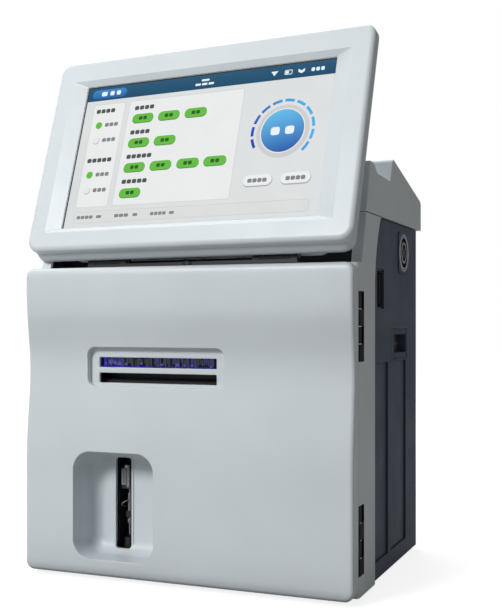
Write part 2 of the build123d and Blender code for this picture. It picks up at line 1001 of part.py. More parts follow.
save(tilt_carrier, "tilt_carrier")

with BuildPart() as tilt_pins:
    for side in (-1, 1):
        start = min(side * lug_inner, side * carrier_half_width)
        with BuildSketch(tilt_plane.offset(start)):
            Circle(tilt_pin_radius)
        extrude(amount=carrier_half_width - lug_inner)
save(tilt_pins, "tilt_pins")

# the tilt axis as seen in the display's own directions
axis_back = display_reach * cos(tilt) + display_lift * sin(tilt)
axis_up = display_reach * sin(tilt) - display_lift * cos(tilt)
ear_width = carrier_half_width - lug_inner - 2 * lug_thickness - 2 * clearance
with BuildPart() as display_ears:
    for side in (-1, 1):
        start = side * (lug_inner + carrier_half_width) / 2 - ear_width / 2
        ear_plane = Plane(
            origin=screen_plane.from_local_coords(Vector(start, axis_up, -axis_back)),
            x_dir=screen_normal * -1,
            z_dir=swivel_plane_x,
        )
        with BuildSketch(ear_plane):
            Circle(lug_radius)
            reach_up = bulge_bottom - axis_up
            with Locations((0, reach_up / 2)):
                Rectangle(2 * lug_radius, reach_up)
            with Locations((rim_depth + bulge_depth / 2 - axis_back, reach_up - 0.75)):
                Rectangle(bulge_depth - 1, 1.5)
            Circle(tilt_pin_radius + running_fit, mode=Mode.SUBTRACT)
        extrude(amount=ear_width)
save(display_ears, "display_ears")


def screen_sketch_rect(width, height, middle, corner):
    """A rounded rectangle on a display plane, its middle above the lower edge."""
    with Locations((0, middle)):
        RectangleRounded(width, height, corner)


panel_middle = screen_bottom + screen_height / 2
glass_width = screen_width + 2 * glass_margin
glass_height = screen_height + 2 * glass_margin
with BuildPart() as display_bezel:
    with BuildSketch(screen_plane):
        screen_sketch_rect(
            display_width, display_height, display_height / 2, display_corner
        )
    extrude(amount=-bezel_depth)
    front_rim = display_bezel.faces().sort_by(Axis((0, 0, 0), screen_normal))[-1]
    fillet(front_rim.edges(), display_edge)
    # sloped border down to the glass
    with BuildSketch(screen_plane):
        screen_sketch_rect(
            screen_width + 2 * border_slope_side,
            screen_height + 2 * border_slope_end,
            panel_middle,
            2,
        )
    with BuildSketch(screen_plane.offset(-screen_sink + 1)):
        screen_sketch_rect(screen_width + 2, screen_height + 2, panel_middle, 1)
    loft(mode=Mode.SUBTRACT)
    with BuildSketch(screen_plane):
        screen_sketch_rect(screen_width + 2, screen_height + 2, panel_middle, 1)
    extrude(amount=-bezel_depth, mode=Mode.SUBTRACT)
    # pocket for the glass, then the hollow behind it
    with BuildSketch(screen_plane.offset(-screen_sink)):
        screen_sketch_rect(
            glass_width + 2 * clearance, glass_height + 2 * clearance, panel_middle, 1
        )
    extrude(amount=-bezel_depth, mode=Mode.SUBTRACT)
    with BuildSketch(screen_plane.offset(-screen_sink - glass_thickness)):
        screen_sketch_rect(
            display_width - 2 * shell_wall,
            display_height - 2 * shell_wall,
            display_height / 2,
            display_corner - shell_wall,
        )
    extrude(amount=-bezel_depth, mode=Mode.SUBTRACT)
save(display_bezel, "display_bezel")

with BuildPart() as touch_glass:
    with BuildSketch(screen_plane.offset(-screen_sink)):
        screen_sketch_rect(glass_width, glass_height, panel_middle, 1)
    extrude(amount=-glass_thickness)
save(touch_glass, "touch_glass")

lcd_front = screen_sink + glass_thickness
with BuildPart() as lcd_panel:
    with BuildSketch(screen_plane.offset(-lcd_front)):
        screen_sketch_rect(glass_width - 2, glass_height - 2, panel_middle, 1)
    extrude(amount=-lcd_thickness)
save(lcd_panel, "lcd_panel")



def shell_loft(near, far, corner, mode=Mode.ADD):
    """A loft between two rounded rectangles, each (depth, half width, bottom, top)."""
    sections = []
    for depth, half_width, bottom, top in (near, far):
        with BuildSketch(screen_plane.offset(-depth)) as section:
            screen_sketch_rect(2 * half_width, top - bottom, (top + bottom) / 2, corner)
        sections.append(section.sketch.face())
    loft(sections, mode=mode)


def rim_loft(inset, deep, drop, mode=Mode.ADD):
    """The rim behind the bezel, which widens downwards to hide the tilt hinge."""
    shell_loft(
        (rim_front, display_width / 2 - inset, inset, display_height - inset),
        (deep, display_width / 2 - rim_inset - inset, inset - drop, display_height - rim_inset - inset),
        display_corner - inset,
        mode,
    )


def bulge_loft(inset, front, deep, mode=Mode.ADD):
    """The hump on the back of the display; its lower face stays square."""
    shell_loft(
        (front, bulge_half_width - inset, bulge_bottom + inset, bulge_top - inset),
        (
            deep,
            bulge_half_width - bulge_taper - inset,
            bulge_bottom + inset,
            bulge_top - bulge_taper - inset,
        ),
        display_corner,
        mode,
    )


rim_front = bezel_depth + display_seam
bulge_back = rim_depth + bulge_depth
with BuildPart() as display_rear_shell:
    rim_loft(0, rim_depth, rim_drop)
    back_face = display_rear_shell.faces().sort_by(Axis((0, 0, 0), screen_normal))[0]
    fillet(back_face.edges(), rim_round)
    bulge_loft(0, rim_depth, bulge_back)
    rim_loft(shell_wall, rim_depth - shell_wall, rim_drop - hinge_notch_height, Mode.SUBTRACT)
    bulge_loft(
        shell_wall, rim_depth - shell_wall, bulge_back - shell_wall, Mode.SUBTRACT
    )
    # room for the tilt hinge under the rim
    with BuildSketch(screen_plane.offset(-rim_front)):
        for side in (-1, 1):
            with Locations((side * (hinge_notch_inner + hinge_notch_outer) / 2, -rim_drop)):
                Rectangle(hinge_notch_outer - hinge_notch_inner, 2 * hinge_notch_height)
    extrude(amount=-rim_depth, mode=Mode.SUBTRACT)
    # cooling slots
    with BuildSketch(screen_plane.offset(-(bulge_back - 2 * shell_wall))):
        with Locations((0, bulge_top * 0.7)):
            with GridLocations(7, 1, 21, 1):
                Rectangle(2.5, 34)
    extrude(amount=-3 * shell_wall, mode=Mode.SUBTRACT)
save(display_rear_shell, "display_rear_shell")

board_back = bulge_back - shell_wall - 6
with BuildPart() as display_board:
    with BuildSketch(screen_plane.offset(-board_back)):
        with Locations((0, panel_middle - 12)):
            Rectangle(150, 80)
    extrude(amount=-1.6)
    # chips and connectors on its front
    with BuildSketch(screen_plane.offset(-board_back)):
        for x, y, width, height in ((-40, 0, 26, 26), (10, 12, 18, 18), (52, -8, 12, 46)):
            with Locations((x, panel_middle - 12 + y)):
                Rectangle(width, height)
    extrude(amount=4)
    # studs to the back of the shell
    with BuildSketch(screen_plane.offset(-board_back - 1.6)):
        with Locations((0, panel_middle - 12)):
            with GridLocations(136, 66, 2, 2):
                Circle(3)
    extrude(amount=-(6 - 1.6))
save(display_board, "display_board")

# ================================================================ sampler
probe_y = front_y + 44
probe_z = base_z + 90
probe_half = 5.5
cheek_gap = 7.6
cheek = 2.5
pivot_radius = 2.5
bracket_y = front_y + 53
with BuildPart() as sampler_bracket:
    cheek_outer = cheek_gap + cheek
    block(
        (probe_slot_x - cheek_outer, probe_slot_x + cheek_outer),
        (bracket_y, bracket_y + cheek),
        (base_z + 16, base_z + 106),
    )
    for low in (probe_slot_x - cheek_outer, probe_slot_x + cheek_gap):
        block((low, low + cheek), (probe_y - 6, bracket_y), (base_z + 16, base_z + 100))
    rod(
        (probe_y, probe_z),
        pivot_radius + running_fit,
        probe_slot_x - cheek_outer,
        probe_slot_x + cheek_outer,
        "X",
        Mode.SUBTRACT,
    )
    for x in (probe_slot_x - 6, probe_slot_x + 6):
        for z in (base_z + 24, base_z + 98):
            rod((x, z), 3, bracket_y + cheek, bulkhead_front, "Y")
    # wash cup under the parked needle
    rod((probe_slot_x, probe_y), 5, base_z + 16, base_z + 28, "Z")
    block(
        (probe_slot_x - cheek_gap, probe_slot_x + cheek_gap),
        (probe_y, bracket_y),
        (base_z + 16, base_z + 19),
    )
    rod((probe_slot_x, probe_y), 3, base_z + 20, base_z + 28, "Z", Mode.SUBTRACT)
save(sampler_bracket, "sampler_bracket")

needle_radius = 0.8
needle_tip = base_z + 30
with BuildPart() as probe_arm:
    rod((probe_y, probe_z), probe_half, probe_slot_x - 5.5, probe_slot_x + 5.5, "X")
    block(
        (probe_slot_x - 5.5, probe_slot_x + 5.5),
        (probe_y - probe_half, probe_y + probe_half),
        (probe_z - 17, probe_z),
    )
    rod(
        (probe_y, probe_z),
        pivot_radius,
        probe_slot_x - cheek_outer,
        probe_slot_x + cheek_outer,
        "X",
    )
    # rail beside the needle with the clip that steadies it
    block(
        (probe_slot_x + 2.5, probe_slot_x + 5.5),
        (probe_y - 2, probe_y + 2),
        (probe_z - 44, probe_z - 15),
    )
    block(
        (probe_slot_x - 2.5, probe_slot_x + 5.5),
        (probe_y - 2.5, probe_y + 2.5),
        (probe_z - 44, probe_z - 38),
    )
    rod(
        (probe_slot_x, probe_y), needle_radius, probe_z - 44, probe_z - 5, "Z", Mode.SUBTRACT
    )
save(probe_arm, "probe_arm")

with BuildPart() as probe_needle:
    rod((probe_slot_x, probe_y), needle_radius, needle_tip, probe_z - 5, "Z")
save(probe_needle, "probe_needle")

# ================================================================ sensors
sensor_front = front_y + 20
cassette_x = (sensor_left + 12, sensor_right - 11)
cassette_z = (base_z + sensor_bottom + 3, base_z + sensor_top - 14)
cassette_back = front_y + 50
with BuildPart() as sensor_block:
    block(
        (sensor_left, sensor_right),
        (sensor_front, bulkhead_front),
        (base_z + sensor_bottom, base_z + sensor_top),
    )
    block(
        (cassette_x[0] - clearance, cassette_x[1] + clearance),
        (sensor_front, cassette_back + clearance),
        (cassette_z[0] - clearance, cassette_z[1] + 6),
        mode=Mode.SUBTRACT,
    )
save(sensor_block, "sensor_block")

channel_count = 16
with BuildPart() as sensor_cassette:
    block(cassette_x, (sensor_front - 2, cassette_back), cassette_z)
    # upright flow channels across the front
    pitch = (cassette_x[1] - cassette_x[0] - 8) / channel_count
    for index in range(channel_count):
        low = cassette_x[0] + 5 + index * pitch
        block(
            (low, low + pitch / 2),
            (sensor_front - 2, sensor_front),
            (cassette_z[0] + 2, cassette_z[1] - 6),
            mode=Mode.SUBTRACT,
        )
save(sensor_cassette, "sensor_cassette")

with BuildPart() as light_bar:
    block(
        (cassette_x[0] + 2, cassette_x[1] - 2),
        (sensor_front + 2, cassette_back - 8),
        (cassette_z[1] + 3, cassette_z[1] + 6),
    )
save(light_bar, "light_bar")

# ================================================================ pump
pump_head_front = bulkhead_front - 24
race_radius = 26
tube_offset = race_radius - line_radius - clearance
roller_front = pump_head_front + 5
roller_back = bulkhead_front - 6
with BuildPart() as pump_motor:
    block(
        (pump_x - motor_size / 2, pump_x + motor_size / 2),
        (bulkhead_rear, bulkhead_rear + 34),
        (pump_center[1] - motor_size / 2, pump_center[1] + motor_size / 2),
    )
    chamfer(pump_motor.edges().filter_by(Axis.Y), 4)
    rod(pump_center, 11, bulkhead_front, bulkhead_rear, "Y")
save(pump_motor, "pump_motor")

shaft_radius = 2.5
with BuildPart() as pump_head:
    rounded_box(
        (pump_x - pump_size / 2, pump_x + pump_size / 2),
        (pump_center[1] - pump_size / 2, pump_center[1] + pump_size / 2),
        6,
        (pump_head_front, bulkhead_front),
    )
    rod(pump_center, race_radius, pump_head_front, roller_back + 2, "Y", Mode.SUBTRACT)
    rod(
        pump_center, shaft_radius + running_fit, roller_back, bulkhead_front, "Y", Mode.SUBTRACT
    )
    # the two ways out for the tube
    for side in (-1, 1):
        tube_x = pump_x + side * tube_offset
        block(
            (tube_x - 2 * line_radius, tube_x + 2 * line_radius),
            (pump_head_front, roller_back + 2),
            (pump_center[1] - pump_size / 2, pump_center[1]),
            mode=Mode.SUBTRACT,
        )
save(pump_head, "pump_head")

roller_pin_radius = 1.2
roller_turns = (90, 270)
with BuildPart() as pump_rotor:
    rod(pump_center, shaft_radius, bulkhead_front - 23, bulkhead_front, "Y")
    for y in (roller_front - 2 - clearance, roller_back + clearance):
        with BuildSketch(facing_front(y)):
            with Locations(pump_center):
                SlotCenterToCenter(2 * rotor_reach, 7, rotation=roller_turns[0])
        extrude(amount=-1.5)
    for turn in roller_turns:
        rod(
            (
                pump_x + rotor_reach * cos(radians(turn)),
                pump_center[1] + rotor_reach * sin(radians(turn)),
            ),
            roller_pin_radius,
            roller_front - 2,
            roller_back + 1,
            "Y",
        )
save(pump_rotor, "pump_rotor")

for number, turn in enumerate(roller_turns, start=1):
    with BuildPart() as pump_roller:
        center = (
            pump_x + rotor_reach * cos(radians(turn)),
            pump_center[1] + rotor_reach * sin(radians(turn)),
        )
        rod(center, roller_radius, roller_front, roller_back, "Y")
        rod(
            center,
            roller_pin_radius + running_fit,
            roller_front,
            roller_back,
            "Y",
            Mode.SUBTRACT,
        )
    save(pump_roller, f"pump_roller_{number}")

# ================================================================ selector valve
valve_center = (valve_x, base_z + valve_z)
valve_front = bulkhead_front - 38
with BuildPart() as valve_motor:
    rounded_box(
        (valve_x - valve_size / 2, valve_x + valve_size / 2),
        (valve_center[1] - valve_size / 2, valve_center[1] + valve_size / 2),
        3,
        (bulkhead_front - 20, bulkhead_front),
    )
save(valve_motor, "valve_motor")

valve_seat = 9
with BuildPart() as valve_body:
    rod(valve_center, valve_size / 2, valve_front, bulkhead_front - 20, "Y")
    rod(
        valve_center,
        valve_seat + running_fit,
        valve_front,
        valve_front + 8,
        "Y",
        Mode.SUBTRACT,
    )
    # six ports round the rim
    with BuildSketch(facing_front(valve_front + 10)):
        with Locations(valve_center):
            with PolarLocations(valve_size / 2 - 2, 6, start_angle=90):
                Circle(2.6)
    extrude(amount=-6)
save(valve_body, "valve_body")

with BuildPart() as valve_rotor:
    rod(valve_center, valve_seat, valve_front - 3, valve_front + 8 - clearance, "Y")
    block(
        (valve_x - 1.5, valve_x + 1.5),
        (valve_front - 5, valve_front - 3),
        (valve_center[1] - 7, valve_center[1] + 7),
    )
save(valve_rotor, "valve_rotor")

# ================================================================ printer
printer_plate = 2.5
printer_top = base_z + sensor_bottom - 1
printer_front = front_y + 19.5
with BuildPart() as printer_frame:
    for low in (printer_left, printer_right - printer_plate):
        block(
            (low, low + printer_plate),
            (printer_front, bulkhead_front),
            (base_z + printer_bottom, printer_top),
        )
    block(
        (printer_left, printer_right),
        (bulkhead_front - 2, bulkhead_front),
        (base_z + printer_bottom, printer_top),
    )
    # shelf that carries the print head
    block(
        (printer_left, printer_right),
        (front_y + 38, bulkhead_front),
        (printer_top - 4, printer_top),
    )
    for center, radius in (
        ((front_y + platen_y, base_z + platen_z), 2.5 + running_fit),
        ((front_y + roll_y, base_z + roll_z), 4),
    ):
        rod(center, radius, printer_left, printer_right, "X", Mode.SUBTRACT)
save(printer_frame, "printer_frame")

roller_x = (printer_left + printer_plate + 1, printer_right - printer_plate - 1)
with BuildPart() as platen_roller:
    center = (front_y + platen_y, base_z + platen_z)
    rod(center, platen_radius, *roller_x, "X")
    rod(center, 2.5, printer_left, printer_right, "X")
save(platen_roller, "platen_roller")

with BuildPart() as print_head:
    head_y = front_y + platen_y + platen_radius + clearance
    block(
        (roller_x[0] + 4, roller_x[1] - 4),
        (head_y, head_y + 5),
        (base_z + platen_z - 9, printer_top - 4),
    )
    # tear bar above the paper's way out
    block(
        (roller_x[0] + 4, roller_x[1] - 4),
        (head_y, head_y + 5),
        (printer_top - 4, printer_top),
    )
    block(
        (roller_x[0] + 4, roller_x[1] - 4),
        (front_y + platen_y - 4, head_y),
        (printer_top - 2, printer_top),
    )
save(print_head, "print_head")

with BuildPart() as roll_spindle:
    center = (front_y + roll_y, base_z + roll_z)
    rod(center, spindle_radius, roller_x[0], roller_x[1], "X")
    rod(center, 4, printer_left, printer_right, "X")
save(roll_spindle, "roll_spindle")

with BuildPart() as paper_roll:
    center = (front_y + roll_y, base_z + roll_z)
    rod(center, roll_radius, roller_x[0] + 5, roller_x[1] - 5, "X")
    rod(
        center,
        spindle_radius + running_fit,
        roller_x[0] + 5,
        roller_x[1] - 5,
        "X",
        Mode.SUBTRACT,
    )
save(paper_roll, "paper_roll")

# ================================================================ fluid lines
line_y = bulkhead_front - 14
port_y = valve_front + 13
pump_low = pump_center[1] - pump_size / 2
tube_left = pump_x - tube_offset
tube_right = pump_x + tube_offset
tube_end_z = pump_center[1] - 6
band_inner = rotor_reach + roller_radius + clearance
bend = 5


def line(*points):
    """A tube of the fluid system along straight runs joined by arcs."""
    with BuildLine() as route:
        FilletPolyline(*points, radius=bend)
    start_plane = Plane(origin=points[0], z_dir=Vector(*points[1]) - Vector(*points[0]))
    with BuildSketch(start_plane) as section:
        Circle(line_radius)
    sweep(section.sketch, path=route.wires()[0])


with BuildPart() as fluid_lines:
    # sample to pump
    line(
        (sensor_right, line_y, base_z + sensor_bottom + 26),
        (sensor_right + 12, line_y, base_z + sensor_bottom + 26),
        (sensor_right + 12, line_y, pump_low - 18),
        (tube_left, line_y, pump_low - 18),
        (tube_left, line_y, tube_end_z),
    )
    # the stretch inside the pump race
    with BuildSketch(facing_front(line_y - line_radius)):
        with Locations(pump_center):
            Circle(race_radius - clearance)
            Circle(band_inner, mode=Mode.SUBTRACT)
        with Locations((pump_x, tube_end_z - 1 - race_radius / 2)):
            Rectangle(2 * race_radius, race_radius, mode=Mode.SUBTRACT)
    extrude(amount=-2 * line_radius)
    # pump to valve
    line(
        (tube_right, line_y, tube_end_z),
        (tube_right, line_y, pump_low - 20),
        (valve_x, line_y, pump_low - 20),
        (valve_x, port_y, pump_low - 20),
        (valve_x, port_y, valve_center[1] + valve_size / 2 + 0.7),
    )
    # valve to probe
    line(
        (valve_x, port_y, valve_center[1] - valve_size / 2 - 0.7),
        (valve_x, port_y, probe_z),
        (probe_slot_x + cheek_outer + 0.5, probe_y, probe_z),
    )
save(fluid_lines, "fluid_lines")

# ================================================================ drawers
box_top = base_z + drawer_bottom + drawer_box_height
plate_inner_x = panel_outer - drawer_recess - drawer_plate
box_inner_x = plate_inner_x - drawer_depth
guide_wall = 1.2
guide_gap = 3.2


def drawer(low, high):
    """An open-topped drawer whose front plate spans the depths low to high."""
    block(
        (plate_inner_x, plate_inner_x + drawer_plate),
        (low, high),
        (base_z + drawer_bottom, base_z + drawer_top),
    )
    box_y = (low + guide_gap, high - guide_gap)
    floor_z = base_z + drawer_bottom
    block((box_inner_x, plate_inner_x), box_y, (floor_z, box_top))
    block(
        (box_inner_x + drawer_wall, plate_inner_x),
        (box_y[0] + drawer_wall, box_y[1] - drawer_wall),
        (floor_z + drawer_wall, box_top),
        mode=Mode.SUBTRACT,
    )


with BuildPart() as waste_drawer:
    drawer(*drawer_fronts[0])
save(waste_drawer, "waste_drawer")

with BuildPart() as reagent_drawer:
    drawer(*drawer_fronts[1])
save(reagent_drawer, "reagent_drawer")


def drawer_room(low, high):
    """Inside of a drawer with a little air, as x, y and z spans."""
    air = guide_gap + drawer_wall + clearance
    return (
        (box_inner_x + drawer_wall + clearance, plate_inner_x - 4),
        (low + air, high - air),
        base_z + drawer_bottom + drawer_wall,
    )


with BuildPart() as waste_bottle:
    room_x, room_y, room_z = drawer_room(*drawer_fronts[0])
    bottle_height = 128
    block(room_x, room_y, (room_z, room_z + bottle_height))
    fillet(waste_bottle.edges().filter_by(Axis.Z), 7)
    fillet(waste_bottle.faces().sort_by(Axis.Z)[-1].edges(), 5)
    neck = ((room_x[0] + room_x[1]) / 2, (room_y[0] + room_y[1]) / 2)
    rod(neck, 13, room_z + bottle_height, room_z + bottle_height + 16, "Z")
save(waste_bottle, "waste_bottle")

with BuildPart() as reagent_pack:
    room_x, room_y, room_z = drawer_room(*drawer_fronts[1])
    block(room_x, room_y, (room_z, room_z + 138))
    fillet(reagent_pack.edges().filter_by(Axis.Z), 2)
    # spouts for the five solutions
    spout_step = (room_x[1] - room_x[0]) / 6
    for index in range(1, 6):
        spout = (room_x[0] + index * spout_step, (room_y[0] + room_y[1]) / 2)
        rod(spout, 4, room_z + 138, room_z + 144, "Z")
save(reagent_pack, "reagent_pack")

with BuildPart() as drawer_guides:
    shelf_z = base_z + drawer_bottom - clearance
    for low, high in drawer_fronts:
        inner_low = low + guide_gap - clearance
        inner_high = high - guide_gap + clearance
        guide_x = (box_inner_x - 3, plate_inner_x - clearance)
        block(guide_x, (inner_low, inner_high), (shelf_z - sheet, shelf_z))
        for y in (inner_low - guide_wall, inner_high):
            block(guide_x, (y, y + guide_wall), (base_z + sheet, base_z + 45))
        block(
            (guide_x[0] - guide_wall, guide_x[0]),
            (inner_low - guide_wall, inner_high + guide_wall),
            (base_z + sheet, base_z + 45),
        )
save(drawer_guides, "drawer_guides")

# ================================================================ electronics
board_x = -side_half + 5
with BuildPart() as mainboard:
    block((board_x, board_x + 1.6), (front_y + 100, rear_y - 8), (base_z + 70, base_z + 290))
    for y in (front_y + 106, rear_y - 14):
        for z in (base_z + 76, base_z + 284):
            rod((y, z), 3, -side_half, board_x, "X")
    # processor with its heat sink, memory and connectors
    block((board_x + 1.6, board_x + 5), (front_y + 130, front_y + 170), (base_z + 190, base_z + 230))
    for index in range(8):
        low = front_y + 131 + index * 5
        block((board_x + 5, board_x + 15), (low, low + 2), (base_z + 190, base_z + 230))
    for index in range(4):
        low = base_z + 90 + index * 22
        block((board_x + 1.6, board_x + 9), (front_y + 108, front_y + 120), (low, low + 16))
    # rear sockets that look out of the rear panel
    for height in socket_z:
        socket_span = (
            height - socket_half[1] + clearance,
            height + socket_half[1] - clearance,
        )
        socket_end = socket_x + socket_half[0] - clearance
        block((board_x + 1.6, socket_end), (rear_y - 22, rear_y - 8), socket_span)
        block(
            (socket_x - socket_half[0] + clearance, socket_end),
            (rear_y - 8, rear_y),
            socket_span,
        )
        block(
            (socket_x - socket_half[0] + 3, socket_x + socket_half[0] - 2),
            (rear_y - 10, rear_y),
            (height - socket_half[1] + 2, height + socket_half[1] - 2),
            mode=Mode.SUBTRACT,
        )
save(mainboard, "mainboard")

with BuildPart() as power_supply:
    supply_x = (supply_left, supply_left + supply_width)
    supply_y = (bulkhead_rear + supply_gap, rear_y - wall - inlet_depth - supply_gap / 2)
    supply_z = (base_z + sheet, base_z + supply_height)
    block(supply_x, supply_y, supply_z)
    slot_count = 9
    slot_step = (supply_y[1] - supply_y[0]) / (slot_count + 1)
    for index in range(1, slot_count + 1):
        low = supply_y[0] + index * slot_step
        block(
            (supply_x[0] + supply_border, supply_x[1] - supply_border),
            (low - sheet, low + sheet),
            (supply_z[1] - 2, supply_z[1]),
            mode=Mode.SUBTRACT,
        )
save(power_supply, "power_supply")

fan_center = (fan_x, base_z + fan_z)
fan_front = rear_y - wall - fan_thickness
with BuildPart() as fan_frame:
    rounded_box(
        (fan_x - fan_size / 2, fan_x + fan_size / 2),
        (fan_center[1] - fan_size / 2, fan_center[1] + fan_size / 2),
        4,
        (fan_front, rear_y - wall),
    )
    rod(fan_center, fan_size / 2 - 1.5, fan_front, rear_y - wall, "Y", Mode.SUBTRACT)
    # motor seat held by four struts on the rear side
    strut_back = rear_y - wall
    rod(fan_center, 11, strut_back - 2, strut_back, "Y")
    with BuildSketch(facing_front(strut_back - 2)):
        with Locations(fan_center):
            for turn in (0, 90):
                Rectangle(fan_size - 2, 3, rotation=turn)
    extrude(amount=-2)
    rod(fan_center, 2, fan_front + 5, strut_back, "Y")
save(fan_frame, "fan_frame")

blade_count = 7
with BuildPart() as fan_rotor:
    rod(fan_center, 11, fan_front + 1, strut_back - 3, "Y")
    rod(fan_center, 2 + running_fit, fan_front + 4, strut_back - 3, "Y", Mode.SUBTRACT)
    with BuildSketch(facing_front(fan_front + 3)):
        with Locations(fan_center):
            with PolarLocations(18.5, blade_count):
                Rectangle(17, 5)
    extrude(amount=-7)
save(fan_rotor, "fan_rotor")

with BuildPart() as power_inlet:
    block(
        (inlet_x - inlet_half[0] + clearance, inlet_x + inlet_half[0] - clearance),
        (rear_y - wall - inlet_depth, rear_y),
        (
            base_z + inlet_z - inlet_half[1] + clearance,
            base_z + inlet_z + inlet_half[1] - clearance,
        ),
    )
    block(
        (inlet_x - inlet_half[0] - 2, inlet_x + inlet_half[0] + 2),
        (rear_y, rear_y + 2),
        (base_z + inlet_z - inlet_half[1] - 2, base_z + inlet_z + inlet_half[1] + 2),
    )
    # socket well with its three pins
    block(
        (inlet_x - 12, inlet_x + 12),
        (rear_y - 16, rear_y + 2),
        (base_z + inlet_z - 8, base_z + inlet_z + 8),
        mode=Mode.SUBTRACT,
    )
    for x, z in ((-7, -2), (0, 2), (7, -2)):
        block(
            (inlet_x + x - 1, inlet_x + x + 1),
            (rear_y - 16, rear_y - 2),
            (base_z + inlet_z + z - 2, base_z + inlet_z + z + 2),
        )
save(power_inlet, "power_inlet")

rocker_pivot_y = rear_y - 1
with BuildPart() as power_rocker:
    rod(
        (rocker_pivot_y, base_z + inlet_z),
        2,
        rocker_x - rocker_half[0] + clearance,
        rocker_x + rocker_half[0] - clearance,
        "X",
    )
    # the two wings of the key, tipped so that its lower half stands out
    with BuildSketch(facing_right(rocker_x - rocker_half[0] + 1)):
        Polygon(
            (rocker_pivot_y - 1.5, base_z + inlet_z + 8),
            (rocker_pivot_y + 0.5, base_z + inlet_z + 8.4),
            (rocker_pivot_y + 2.2, base_z + inlet_z),
            (rocker_pivot_y + 4, base_z + inlet_z - 8),
            (rocker_pivot_y + 2, base_z + inlet_z - 8.4),
            (rocker_pivot_y - 1.5, base_z + inlet_z - 2),
            align=None,
        )
    extrude(amount=2 * (rocker_half[0] - 1))
save(power_rocker, "power_rocker")
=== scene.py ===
import random
from math import cos, pi, radians, sin

import bmesh
import bpy
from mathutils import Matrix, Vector


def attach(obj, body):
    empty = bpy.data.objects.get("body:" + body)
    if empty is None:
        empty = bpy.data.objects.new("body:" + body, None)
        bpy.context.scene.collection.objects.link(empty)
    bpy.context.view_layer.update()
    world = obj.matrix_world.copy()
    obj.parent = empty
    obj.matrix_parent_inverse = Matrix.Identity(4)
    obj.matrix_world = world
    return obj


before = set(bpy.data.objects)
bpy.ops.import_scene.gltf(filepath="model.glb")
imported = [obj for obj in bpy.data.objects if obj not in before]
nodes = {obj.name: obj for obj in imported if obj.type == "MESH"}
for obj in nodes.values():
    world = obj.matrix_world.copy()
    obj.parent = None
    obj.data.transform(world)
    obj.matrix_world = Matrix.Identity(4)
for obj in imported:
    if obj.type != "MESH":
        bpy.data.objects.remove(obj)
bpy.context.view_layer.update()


# ------------------------------------------------------------------ materials
def linear(r, g, b):
    """An sRGB colour given from 0 to 255 as a linear RGBA tuple."""
    channels = []
    for value in (r, g, b):
        value = value / 255
        channels.append(value / 12.92 if value <= 0.04045 else ((value + 0.055) / 1.055) ** 2.4)
    return (*channels, 1.0)


